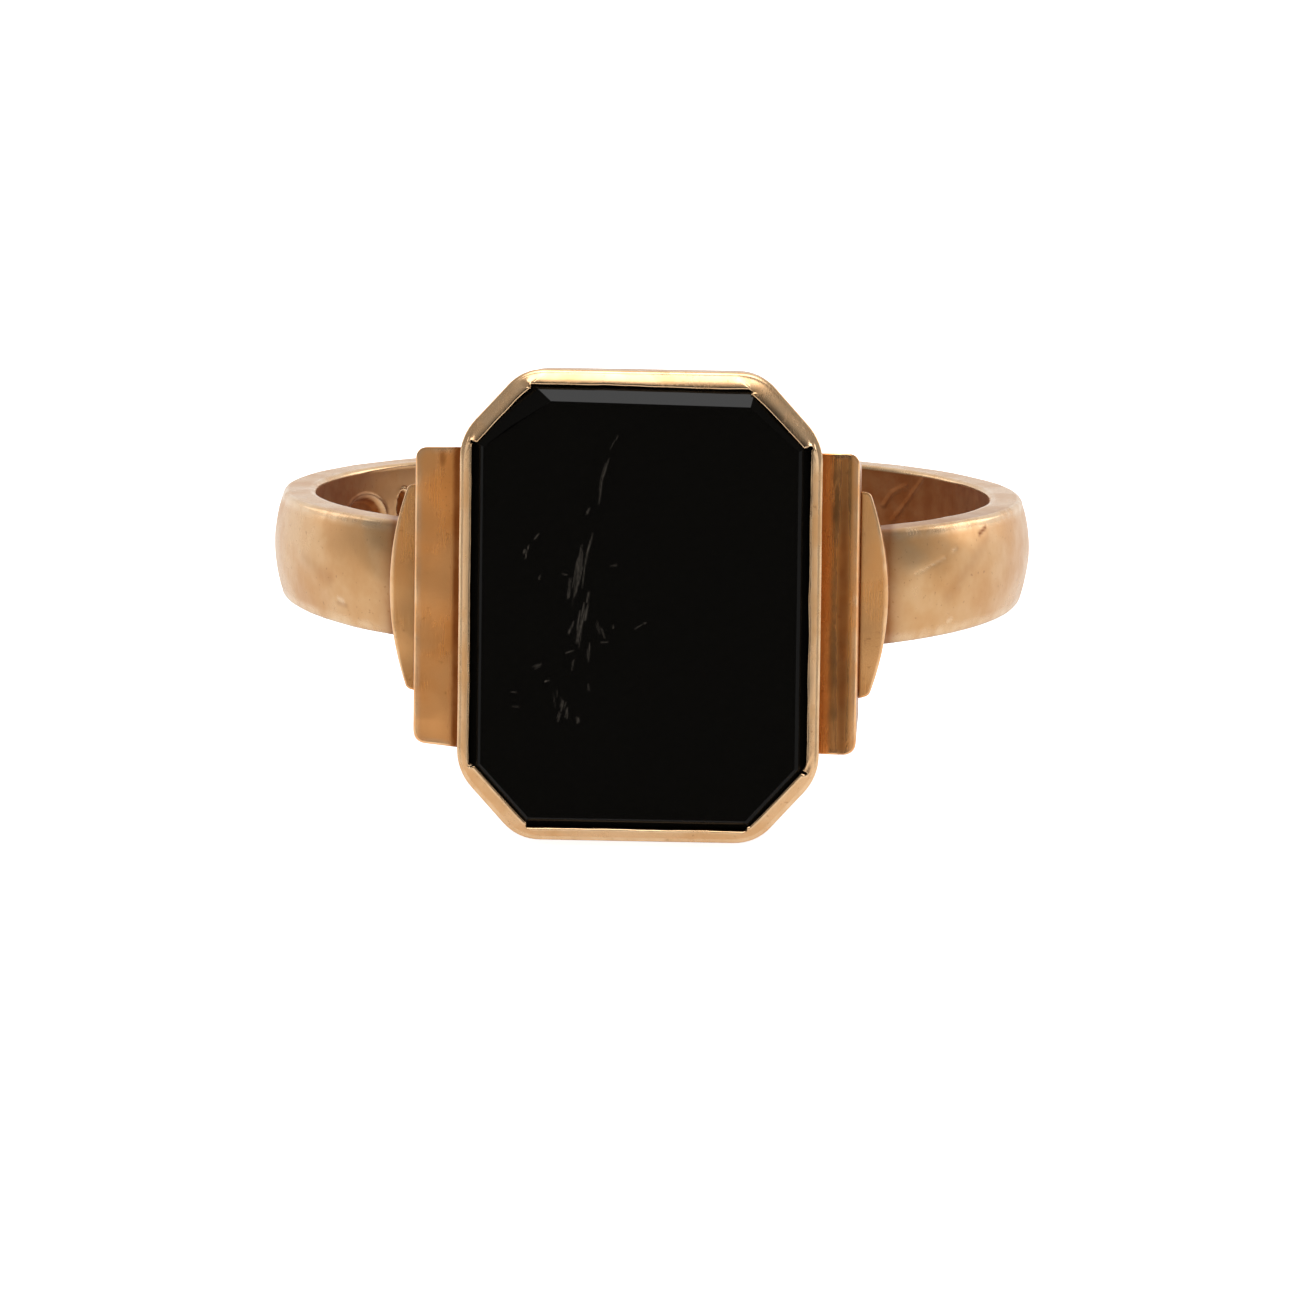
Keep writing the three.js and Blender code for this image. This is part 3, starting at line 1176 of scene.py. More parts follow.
    def _grime_and_shade(
        self,
        points: np.ndarray,
        flat: np.ndarray,
        marks: np.ndarray,
        inner: np.ndarray,
        side_face: np.ndarray,
    ) -> np.ndarray:
        """Where grime has gathered, and where shade is painted.

        Args:
            points: The band's points.
            flat: Their X and Y before the marks were cut.
            marks: Depth of the marks at each.
            inner: Which are on the inner face.
            side_face: Which are on the upper side face.

        Returns:
            The grime and painted shade at each point, 0 to 1 or a little more.
        """
        s, z = self.sizes, points[..., 2]
        back = z < 0
        # Painted shade on the outside of the band, fading away past the half-moons.
        past_moon = np.maximum(np.abs(points[..., 0]) - s.bar_side - self.moon_reach, 0)
        beside = self.shoulder_shade * np.exp(-past_moon / self.shoulder_fade)
        grime_and_shade = np.where(~inner & (z > 0), beside, 0.0)
        # Painted shade over the inner face, except in a patch near the punch marks.
        away = (flat - np.array(self.unshaded_middle)) / np.array(self.unshaded_reach)
        unshaded = np.exp(-(away**4).sum(axis=-1))
        grime_and_shade = np.maximum(grime_and_shade, np.where(inner, self.bore_shade * (1 - unshaded * back), 0.0))
        grime_and_shade = np.maximum(grime_and_shade, np.where(inner & back, marks * self.mark_grime, 0.0))
        # Smudges of grime on the outside, with one painted reflection among them.
        smudges_and_reflection = self._cuts(flat, self.smudges_and_reflection, s.band_outer)
        grime_and_shade = np.maximum(grime_and_shade, np.where(~inner & ~back, smudges_and_reflection, 0.0))
        shaded = self.side_shade * smooth_step(4.0, 6.0, flat[..., 0]) * smooth_step(1.0, 4.5, z)
        return np.maximum(grime_and_shade, np.where(side_face, shaded, 0.0))

    def _marks(self, flat: np.ndarray) -> np.ndarray:
        """Depth of the punch marks and strokes on the inner face.

        Args:
            flat: X and Y of the places.

        Returns:
            The depths in millimetres, below 0 on a lip.
        """
        arc = self.sizes.bore_radius * np.arcsin(np.clip(flat[..., 0] / self.sizes.bore_radius, -1, 1))
        place = np.stack([arc, flat[..., 1]], axis=-1)
        depth = np.zeros(flat.shape[:-1])
        for punch in self.punches:
            middle = self.sizes.bore_radius * math.asin(punch.centre[0] / self.sizes.bore_radius)
            offset = (place - np.array((middle, punch.centre[1]))) / (punch.half_round, punch.half_along)
            away = np.linalg.norm(offset, axis=-1)
            bowl = punch.depth * (1 - smooth_step(0.75, 1.0, away))
            lip = self.lip_height * np.exp(-(((away - self.lip_at) / self.lip_width) ** 2))
            depth += bowl - lip
        return depth + self._cuts(flat, self.strokes, self.sizes.bore_radius)

    def _knocks(self, flat: np.ndarray) -> np.ndarray:
        """Depth of the knocks on the outside."""
        return self._cuts(flat, self.knocks, self.sizes.band_outer)

    @staticmethod
    def _cuts(flat: np.ndarray, strokes: tuple[Stroke, ...], radius: float) -> np.ndarray:
        """Depth of some strokes, measured on the unrolled surface.

        Args:
            flat: X and Y of the places.
            strokes: The strokes.
            radius: The surface's radius.

        Returns:
            The depth at each place.
        """
        arc = radius * np.arcsin(np.clip(flat[..., 0] / radius, -1, 1))
        place = np.stack([arc, flat[..., 1]], axis=-1)
        depth = np.zeros(flat.shape[:-1])
        for stroke in strokes:
            ends = [(radius * math.asin(x / radius), y) for x, y in (stroke.start, stroke.end)]
            away, _ = to_segment(place, ends[0], ends[1])
            depth = np.maximum(depth, stroke.depth * np.exp(-((away / stroke.width) ** 2)))
        return depth


# ---- Head -------------------------------------------------------------------------------------------


@dataclass(frozen=True)
class Swell:
    """A stretch of rim that is rubbed further over the stone.

    It grows from the start to the full distance along the run, and reaches in by the last number.
    """

    run: tuple[float, float]
    start: float
    full: float
    reach: float


@dataclass(frozen=True)
class Notch:
    """A gap that the setter left in the rim's lip near a corner of the head."""

    place: tuple[float, float]
    half_length: float
    depth: float


@dataclass(frozen=True)
class Streak:
    """A scratch, or a band of fine ones, on the stone's table, as X and Y on the ring."""

    start: tuple[float, float]
    end: tuple[float, float]
    half_width: float
    hairs: int
    strength: float

    def draw(self, flat: np.ndarray, depth: np.ndarray, draw: np.random.Generator) -> None:
        """Scratches its hairs into a grid.

        Args:
            flat: The grid's places, two numbers on the last axis.
            depth: How deep the grid is scratched so far, 0 to 1, changed in place.
            draw: Where the chances come from.
        """
        start, end = np.array(self.start), np.array(self.end)
        aside = np.array((start[1] - end[1], end[0] - start[0]))
        aside /= np.linalg.norm(aside)
        for _ in range(self.hairs):
            first = draw.uniform(0, 0.55) if self.hairs > 1 else 0.0
            last = min(1.0, first + draw.uniform(0.25, 0.6)) if self.hairs > 1 else 1.0
            offset = draw.normal() * 0.5 * self.half_width if self.hairs > 1 else 0.0
            skew = draw.normal() * 0.12 * self.half_width
            a = start + (end - start) * first + aside * (offset - skew)
            b = start + (end - start) * last + aside * (offset + skew)
            away, share = to_segment(flat, a, b)
            taper = np.sqrt(np.clip(4 * share * (1 - share), 0, 1))
            width = draw.uniform(0.011, 0.02)
            force = self.strength * draw.uniform(0.35, 1.0)
            np.maximum(depth, force * taper * np.exp(-((away / width) ** 2)), out=depth)


@dataclass
class StoneTable:
    """The stone's flat table, with a fine grid let into it that carries the scratches."""

    level: float
    low: tuple[float, float] = (-3.33, -3.5)
    high: tuple[float, float] = (0.45, 4.79)
    spacing: float = 0.027
    groove: float = 0.002
    streaks: tuple[Streak, ...] = (
        Streak((-0.4, 4.75), (-0.68, 4.21), 0.03, 2, 0.35),
        Streak((-0.64, 4.27), (-0.92, 3.21), 0.05, 5, 0.45),
        Streak((-0.85, 3.66), (-1.01, 2.5), 0.03, 3, 0.3),
        Streak((-1.19, 2.75), (-1.3, 2.39), 0.03, 3, 0.4),
        Streak((-1.08, 2.07), (-1.28, 1.25), 0.04, 6, 0.55),
        Streak((-1.35, 1.74), (-1.61, 0.0), 0.15, 14, 0.36),
        Streak((-1.42, 1.34), (-1.66, 0.18), 0.1, 9, 0.42),
        Streak((-1.7, 0.89), (-1.75, 0.18), 0.06, 5, 0.35),
        Streak((-1.15, 0.44), (-1.3, -0.54), 0.06, 6, 0.5),
        Streak((-1.3, 0.18), (-1.51, -1.12), 0.1, 10, 0.4),
        Streak((-1.61, -0.36), (-1.7, -0.85), 0.05, 5, 0.4),
        Streak((-1.57, -1.26), (-1.65, -1.81), 0.03, 3, 0.4),
        Streak((-1.17, -0.94), (-1.19, -1.72), 0.03, 3, 0.4),
        Streak((-1.17, -1.92), (-1.15, -2.28), 0.02, 2, 0.3),
        Streak((-1.81, -2.49), (-2.03, -3.2), 0.07, 6, 0.4),
        Streak((-1.7, -2.6), (-1.79, -3.13), 0.03, 3, 0.4),
        Streak((-1.45, -2.86), (-1.4, -3.19), 0.04, 5, 0.55),
        Streak((-2.5, 1.94), (-2.81, 1.6), 0.03, 2, 0.4),
        Streak((-2.81, 1.68), (-2.92, 1.25), 0.04, 4, 0.5),
        Streak((-2.48, 0.96), (-2.53, 0.64), 0.03, 2, 0.4),
        Streak((-1.86, -1.29), (-1.42, -1.08), 0.02, 2, 0.4),
        Streak((-2.39, -2.04), (-2.14, -1.93), 0.03, 3, 0.7),
        Streak((-2.69, -1.68), (-2.3, -1.48), 0.04, 3, 0.3),
        Streak((0.02, -0.57), (0.26, -0.42), 0.02, 1, 0.35),
        Streak((0.25, -0.42), (0.34, -0.37), 0.02, 2, 0.9),
        Streak((-0.53, -0.42), (-0.55, -0.58), 0.03, 2, 0.5),
        Streak((-0.9, -0.97), (-0.6, -0.88), 0.03, 2, 0.3),
        Streak((-0.68, 1.09), (-0.29, 1.2), 0.03, 2, 0.22),
        Streak((-1.92, 0.89), (-1.75, 0.85), 0.02, 1, 0.3),
        Streak((-3.25, -2.3), (-3.06, -2.32), 0.02, 1, 0.3),
        Streak((-3.22, -2.7), (-2.98, -2.7), 0.02, 1, 0.3),
        Streak((-2.1, -2.2), (-1.9, -2.9), 0.15, 4, 0.2),
        Streak((-1.0, -0.3), (-0.8, -0.9), 0.1, 4, 0.25),
    )

    def scratch_depths(self, flat: np.ndarray) -> np.ndarray:
        """How deeply each place of the grid is scratched, from 0 to 1.

        Args:
            flat: The grid's places, two numbers on the last axis.

        Returns:
            The depths, one for each place.
        """
        draw = np.random.default_rng(5)
        depth = np.zeros(flat.shape[:-1])
        for streak in self.streaks:
            streak.draw(flat, depth, draw)
        return depth

    def let_in(self, draft: bmesh.types.BMesh) -> None:
        """Puts the grid in the middle of the table and joins it to the table's corners.

        Args:
            draft: The stone, in metres, with one flat face on top.
        """
        layer = draft.verts.layers.float.new("scratch")
        top = max(draft.faces, key=lambda f: (f.normal.z > 0.99) * f.calc_area())
        corners = sorted(top.verts, key=lambda v: math.atan2(v.co.y, v.co.x))
        draft.faces.remove(top)
        columns = int((self.high[0] - self.low[0]) / self.spacing)
        rows = int((self.high[1] - self.low[1]) / self.spacing)
        xs = np.linspace(self.low[0], self.high[0], columns)
        ys = np.linspace(self.low[1], self.high[1], rows)
        flat = np.stack(np.meshgrid(xs, ys, indexing="ij"), axis=-1)
        depth = self.scratch_depths(flat)
        depth[0, :] = depth[-1, :] = depth[:, 0] = depth[:, -1] = 0
        grid = []
        for i in range(columns):
            line = []
            for j in range(rows):
                z = self.level - self.groove * depth[i, j]
                vertex = draft.verts.new((xs[i] * MM, ys[j] * MM, z * MM))
                vertex[layer] = depth[i, j]
                line.append(vertex)
            grid.append(line)
        for left, right in zip(grid, grid[1:]):
            for j in range(rows - 1):
                draft.faces.new((left[j], right[j], right[j + 1], left[j + 1]))
        borders = (
            grid[-1],
            [line[-1] for line in reversed(grid)],
            list(reversed(grid[0])),
            [line[0] for line in grid],
        )
        start = min(range(8), key=lambda i: abs(math.atan2(corners[i].co.y, corners[i].co.x) + 0.9))
        ring = corners[start:] + corners[:start]
        for k, border in enumerate(borders):
            low, high = ring[(2 * k) % 8], ring[(2 * k + 1) % 8]
            draft.faces.new([low, high, *reversed(border)])
            draft.faces.new([high, ring[(2 * k + 2) % 8], border[-1]])


@dataclass(frozen=True)
class Loop:
    """One loop of the strap's section, carried round the outline.

    Handwork says how much the setter's tool moved it, and inward how far it is towards the opening.
    """

    level: float
    inset: float
    handwork: float
    inward: float
    arris: bool


@dataclass
class Head:
    """The back plate, the strap with its rubbed-over rim, the stone's seat and the stone."""

    sizes: RingSizes = SIZES
    corner_rounding: float = 0.6
    opening_rounding: float = 0.1
    outer_radius: float = 0.1
    lip_radius: float = 0.04
    lip_thickness: float = 0.14
    rim_slope: float = 0.1
    seat_width: float = 0.6
    stone_edge: float = 0.007
    top_bevel_end: tuple[tuple[float, float], tuple[float, float]] = ((-2.25, 5.5), (3.04, 5.42))
    skewed_beyond: float = 5.5
    upper_bevel_dirt: float = 0.66
    corner_rub: float = 0.9
    corner_way: tuple[float, float] = (0.739, 0.673)
    # The rows inside the strap, and the painted shade laid on them.
    inside_rows: int = 6
    inside_shade: float = 0.9
    notches: tuple[Notch, ...] = (
        Notch((-4.69, 4.42), 0.3, 0.19),
        Notch((4.99, 4.3), 0.42, 0.22),
        Notch((-4.69, -4.5), 0.26, 0.12),
        Notch((4.95, -4.55), 0.36, 0.15),
        Notch((-3.03, 6.34), 0.2, 0.13),
    )
    swells: tuple[Swell, ...] = (
        Swell((0.0, 1.0), 5.6, 6.1, 0.07),
        Swell((0.25, 1.0), 5.9, 6.9, 0.05),
        Swell((0.0, -1.0), 5.6, 6.1, 0.03),
        Swell((-0.739, 0.673), 6.1, 6.3, 0.13),
        Swell((0.739, 0.673), 6.2, 6.4, 0.16),
        Swell((-0.739, -0.673), 6.1, 6.3, 0.15),
        Swell((0.739, -0.673), 6.2, 6.4, 0.11),
    )

    def strap(self, axes: RingAxes) -> bpy.types.Object:
        """The wall round the stone, with its rim rubbed over the bevel.

        Args:
            axes: The ring's axes.

        Returns:
            The strap.
        """
        s = self.sizes
        top = s.rim_level
        outer_top = top - self.rim_slope - self.outer_radius
        wall = np.linspace(s.wall_bottom, outer_top, 10)
        loops = [Loop(z, s.lean(z), 0.0, 0.0, z > outer_top - 0.1) for z in wall]
        for a in quarter_turn(7)[1:]:
            inset = s.lean(outer_top) + self.outer_radius * (1 - math.cos(a))
            loops.append(Loop(outer_top + self.outer_radius * math.sin(a), inset, 0.0, 0.0, True))
        inner_start = s.rim_width - self.lip_radius
        outer_end = loops[-1].inset
        for t in np.linspace(0, 1, 9)[1:]:
            level = top - self.rim_slope * (1 - t) + 0.015 * math.sin(math.pi * t)
            loops.append(Loop(level, outer_end + (inner_start - outer_end) * t, t, t, t > 0.85))
        for a in quarter_turn(5)[1:]:
            inset = inner_start + self.lip_radius * math.sin(a)
            loops.append(Loop(top - self.lip_radius * (1 - math.cos(a)), inset, 1.0, 1.0, True))
        loops.append(Loop(top - self.lip_thickness, s.rim_width, 1.0, 1.0, False))
        loops.append(Loop(s.girdle_level, s.wall_thickness + s.lean(s.girdle_level), 0.3, 1.0, False))
        for z in np.linspace(s.girdle_level, s.wall_bottom, 5)[1:]:
            loops.append(Loop(z, s.wall_thickness + s.lean(z), 0.0, 0.6, False))
        first = head_outline(s, 0.0, self.corner_rounding)
        inward = inward_normals(first)
        flat_place = np.column_stack([first, np.zeros(len(first))])
        wave = 0.007 * ripple(flat_place, 1.3, 21) + 0.003 * ripple(flat_place, 0.4, 22)
        for swell in self.swells:
            wave += swell.reach * smooth_step(swell.start, swell.full, first @ np.array(swell.run))
        gap = np.zeros(len(first))
        for notch in self.notches:
            away = np.linalg.norm(first - np.array(notch.place), axis=1)
            nearest = away.min()
            spread = np.sqrt(np.maximum(away**2 - nearest**2, 0))
            gap = np.maximum(gap, notch.depth * np.exp(-((spread / notch.half_length) ** 4)))
        across_corner = np.abs(first[:, 0]) * self.corner_way[0] + first[:, 1] * self.corner_way[1]
        rubbed_corners = self.corner_rub * smooth_step(5.95, 6.25, across_corner)
        points, wear, grime_and_shade = [], [], []
        for loop in loops:
            rounding = self.corner_rounding + (self.opening_rounding - self.corner_rounding) * loop.inward
            outline = head_outline(s, loop.inset, rounding)
            outline = outline + inward * (loop.handwork * (wave - gap))[:, None]
            uneven = 0.003 * np.maximum(1 + ripple(flat_place, 2.5, 23), 0)
            outline = outline + inward * uneven[:, None] * (1 - loop.handwork)
            levels = loop.level + 0.004 * loop.handwork * ripple(flat_place, 1.1, 24)
            points.append(np.column_stack([outline, np.minimum(levels, s.table_level)]))
            rubbed = 1.0 if loop.arris else 0.1
            wear.append(np.maximum(rubbed, rubbed_corners * (loop.handwork > 0)))
            # Painted shade: the wall is darker below the rim, and darker still on the inside rows.
            grime_and_shade.append(np.full(len(outline), 0.0 if loop.level > top - 0.8 else 0.35))
        grime_and_shade[-self.inside_rows :] = [np.full(len(first), self.inside_shade)] * self.inside_rows
        skin = Skin(np.array(points), True, np.array(wear), np.array(grime_and_shade))
        return skin.to_object("bezel_strap_worn", axes)

    def seat(self, axes: RingAxes) -> bpy.types.Object:
        """The ledge that the stone rests on.

        Args:
            axes: The ring's axes.

        Returns:
            The ledge.
        """
        s = self.sizes
        outer = s.wall_thickness + s.solder_gap
        top = s.stone_bottom - s.stone_clearance
        inner = outer + self.seat_width + s.lean(s.wall_bottom)
        corners = [
            (s.wall_bottom, outer + s.lean(s.wall_bottom)),
            (top - 0.03, outer + s.lean(top)),
            (top, outer + s.lean(top) + 0.03),
            (top, inner - 0.03),
            (top - 0.03, inner),
            (s.wall_bottom, inner),
        ]
        points = [
            np.column_stack([o, np.full(len(o), z)])
            for z, inset in corners
            for o in [head_outline(s, inset, 0.12, side_steps=12, corner_steps=4)]
        ]
        shape = (len(points), len(points[0]))
        skin = Skin(np.array(points), True, np.zeros(shape), np.full(shape, 0.5))
        return skin.to_object("stone_ledge", axes)

    def plate(self, axes: RingAxes) -> bpy.types.Object:
        """The floor of the head, with softened edges.

        Args:
            axes: The ring's axes.

        Returns:
            The plate.
        """
        s = self.sizes
        top = s.wall_bottom - s.solder_gap
        outline = head_outline(s, s.lean(top), self.corner_rounding, side_steps=40, corner_steps=8)
        reach = (s.head_length - s.head_width) / 2
        spine = np.column_stack(
            [np.full(len(outline), s.head_offset), np.clip(outline[:, 1], -reach, reach)]
        )
        plateau = Plateau(
            outline, spine, FlatLevel(top), FlatLevel(s.plate_bottom), HeadLean(s, top), 0.03
        )
        skin = plateau.skin()
        skin.crevice += np.where(skin.points[..., 2] < s.plate_bottom + 0.01, 0.25, 0.5)
        return skin.to_object("head_floor", axes)

    def stone(self, axes: RingAxes) -> bpy.types.Object:
        """The plaque: crisp facets with the finest of softened edges.

        Args:
            axes: The ring's axes.

        Returns:
            The stone.
        """
        s = self.sizes
        edge = s.wall_thickness + s.stone_clearance
        levels = (
            (s.stone_bottom, edge + s.lean(s.stone_bottom)),
            (s.girdle_level, edge + s.lean(s.girdle_level)),
            (s.table_level, s.rim_width + s.bevel_width),
        )
        draft = bmesh.new()
        rings = []
        for level, inset in levels:
            corners = head_outline(s, inset, 1e-6, side_steps=1, corner_steps=1)[::2]
            rings.append([draft.verts.new((x * MM, y * MM, level * MM)) for x, y in corners])
        for vertex in rings[-1]:
            if vertex.co.y > self.skewed_beyond * MM:
                place = self.top_bevel_end[0 if vertex.co.x < 0 else 1]
                vertex.co.x, vertex.co.y = place[0] * MM, place[1] * MM
        for low, high in zip(rings, rings[1:]):
            for i in range(8):
                j = (i + 1) % 8
                draft.faces.new((low[i], low[j], high[j], high[i]))
        draft.faces.new(list(reversed(rings[0])))
        draft.faces.new(rings[-1])
        bmesh.ops.recalc_face_normals(draft, faces=draft.faces)
        bmesh.ops.bevel(
            draft,
            geom=list(draft.edges),
            offset=self.stone_edge * MM,
            segments=3,
            profile=0.5,
            affect="EDGES",
        )
        draft.normal_update()
        dirty = draft.verts.layers.float.new("crevice")
        for face in draft.faces:
            if 0.2 < face.normal.z < 0.95:
                upper = abs(face.normal.x) < 0.2 and face.normal.y > 0
                for vertex in face.verts:
                    vertex[dirty] = self.upper_bevel_dirt if upper else 1.0
        StoneTable(s.table_level).let_in(draft)
        mesh = bpy.data.meshes.new("onyx_table_cut")
        draft.to_mesh(mesh)
        draft.free()
        mesh.shade_smooth()
        piece = axes.lay("onyx_table_cut", mesh)
        weighted = piece.modifiers.new("flat_facets", "WEIGHTED_NORMAL")
        weighted.keep_sharp = True
        return piece


# ---- Shoulders --------------------------------------------------------------------------------------


@dataclass
class Shoulder:
    """One stepped shoulder: the tall bar beside the head and the half-moon below it."""

    side: Side
    sizes: RingSizes = SIZES
    bar_crown: Crown = Crown(0.0, 0.02, 0.88, 0.01, 0.42)
    moon_crown: Crown = Crown(0.0, 0.1, 0.85, 0.03, 0.15)
    # Dark patches as X, Y, two half sizes and depth; the long one on the right bar is a painted reflection.
    stains_and_reflection: tuple[tuple[float, float, float, float, float], ...] = ()
    # Painted shade over the inner half of the bar, next to the head.
    inner_shade: float = 0.3
    # Painted shade in a dark strip along the joint with the head, and the strip's width.
    joint_shade: float = 1.0
    joint_width: float = 0.24
    bar_length: float = 8.12
    bar_corner: float = 0.34
    bar_edge: float = 0.05
    moon_reach: float = 0.76
    moon_end_reach: float = 0.26
    moon_slant: float = 0.0
    moon_length: float = 5.6
    moon_drop: float = 1.8
    moon_corner: float = 0.07
    moon_edge: float = 0.05
    solder: float = 0.006
    side_step: float = 0.1
    end_lean: float = 0.17
    seed: int = 31

    @property
    def crest(self) -> float:
        """Level of the bar's crest."""
        return self.sizes.rim_level - self.sizes.bar_drop

    def bar(self, axes: RingAxes) -> bpy.types.Object:
        """The tall bar, with a rounded front that falls away to the outer side.

        Args:
            axes: The ring's axes.

        Returns:
            The bar.
        """
        s, sign = self.sizes, self.side.value
        inner = s.head_width / 2 + sign * s.head_offset - s.lean(self.crest) + self.solder
        outer, half = s.bar_side, self.bar_length / 2
        outline = self._rounded_box(inner, outer, half, 0.06, self.bar_corner)
        width = outer - inner
        spine_x = sign * (inner + outer) / 2
        spine = np.column_stack(
            [np.full(len(outline), spine_x), np.clip(outline[:, 1], -half + width / 2, half - width / 2)]
        )
        plateau = Plateau(
            outline,
            spine,
            CrownedLevel(self.side, self.crest, self.bar_crown, inner, outer, 0.005, self.seed),
            DrumLevel(s.band_outer + s.solder_gap),
            StepLean(self.side, half, self.crest, self.end_lean, inner, outer, s.head_taper),
            self.bar_edge,
            front_rows=24,
        )
        skin = plateau.skin()
        across = sign * skin.points[..., 0]
        front = smooth_step(self.crest - 0.9, self.crest - 0.5, skin.points[..., 2])
        joint = inner + self.joint_width
        near_head = 1 - smooth_step(joint, joint + 0.2, across)
        inner_half = 1 - smooth_step(inner + 0.15, inner + 0.75, across)
        # Painted shade: a dark strip along the joint with the head, and the sides below the front darkened.
        skin.crevice = np.maximum(near_head * front * self.joint_shade, (1 - front) * 0.4)
        # Painted shade over the inner half, next to the head.
        skin.crevice = np.maximum(skin.crevice, self.inner_shade * inner_half * front)
        # Stains, and the right bar's painted reflection down its middle.
        for x, y, half_x, half_y, depth in self.stains_and_reflection:
            away = ((skin.points[..., 0] - x) / half_x) ** 2 + ((skin.points[..., 1] - y) / half_y) ** 2
            skin.crevice = np.maximum(skin.crevice, depth * np.exp(-(away**2)))
        skin.wear = skin.wear * smooth_step(inner + 0.2, inner + 0.5, across)
        return skin.to_object(f"{self.side.name.lower()}_bar_worn", axes)

    def half_moon(self, axes: RingAxes) -> bpy.types.Object:
        """The lower plate, with an arc for its outer edge.

        Args:
            axes: The ring's axes.

        Returns:
            The half-moon.
        """
        s, sign = self.sizes, self.side.value
        inner = s.bar_side + self.solder
        end = self.moon_length / 2
        rise = self.moon_reach - self.moon_end_reach
        radius = (end**2 + rise**2) / (2 * rise)
        middle = s.bar_side + self.moon_reach - radius
        spread = math.asin(end / radius)
        angles = np.linspace(-spread, spread, 97)
        arc = np.column_stack([middle + radius * np.cos(angles), radius * np.sin(angles)])
        arc = arc[np.abs(arc[:, 1]) < end - self.moon_corner]
        tip = s.bar_side + self.moon_end_reach
        straight = [np.array((inner, y)) for y in np.linspace(end, -end, 60)[1:-1]]
        corner_place, inner_end = np.array((tip, end)), np.array((inner, end))
        upper = np.array(soft_turn(arc[-1], corner_place, inner_end, np.linspace(0, 1, 12)[1:]))
        lower = upper[::-1] * np.array((1, -1))
        outline = np.vstack([arc, upper, np.array(straight), lower])
        part = np.clip((outline[:, 0] - inner) / self.moon_reach, 0, 1)
        outline[:, 0] -= self.moon_slant * part * outline[:, 1] / end
        if self.side is Side.LEFT:
            outline = outline[::-1] * np.array((-1, 1))
        within = np.minimum(np.abs(outline[:, 1]), end)
        local = middle + np.sqrt(np.maximum(radius**2 - within**2, 0)) - inner
        spine_y = np.clip(outline[:, 1], -end + 0.25, end - 0.25)
        spine = np.column_stack([sign * (inner + 0.45 * np.maximum(local, 0.1)), spine_y])
        top = self.crest - self.moon_drop
        plateau = Plateau(
            outline,
            spine,
            CrownedLevel(
                self.side, top, self.moon_crown, inner, inner + self.moon_reach, 0.005, self.seed + 5
            ),
            DrumLevel(s.band_outer + s.solder_gap),
            StepLean(self.side, end, top, self.end_lean, inner, inner + self.moon_reach, 0.0),
            self.moon_edge,
            front_rows=9,
        )
        skin = plateau.skin()
        across = sign * skin.points[..., 0]
        # Painted shade along the half-moon's inner edge, under the bar.
        skin.crevice = (1 - smooth_step(inner + 0.02, inner + 0.12, across)) * 0.6
        skin.wear = skin.wear * smooth_step(inner + 0.1, inner + 0.3, across)
        return skin.to_object(f"{self.side.name.lower()}_half_moon_worn", axes)

    def _rounded_box(
        self, inner: float, outer: float, half: float, inner_corner: float, outer_corner: float
    ) -> np.ndarray:
        """A tall box outline with small inner and larger outer corners, counter-clockwise.

        Args:
            inner: Distance across to the inner side.
            outer: Distance across to the outer side.
            half: Half the length.
            inner_corner: How far the inner corners are rounded.
            outer_corner: How far the outer corners are rounded.

        Returns:
            The outline's points.
        """
        corners = (
            ((outer, -half), outer_corner),
            ((outer, half), outer_corner),
            ((inner, half), inner_corner),
            ((inner, -half), inner_corner),
        )
        points = []
        for i, (corner, radius) in enumerate(corners):
            here, before = np.array(corner), np.array(corners[i - 1][0])
            after, after_radius = np.array(corners[(i + 1) % 4][0]), corners[(i + 1) % 4][1]
            leave = towards(here, after, radius)
            points += soft_turn(towards(here, before, radius), here, leave, np.linspace(0, 1, 12)[:-1])
            reach = towards(after, here, after_radius)
            steps = max(6, int(np.linalg.norm(reach - leave) / self.side_step))
            points += [leave + (reach - leave) * t for t in np.arange(steps) / steps]
        outline = np.array(points)
        if self.side is Side.LEFT:
            outline = outline[::-1] * np.array((-1, 1))
        return outline


# ---- Studio -----------------------------------------------------------------------------------------


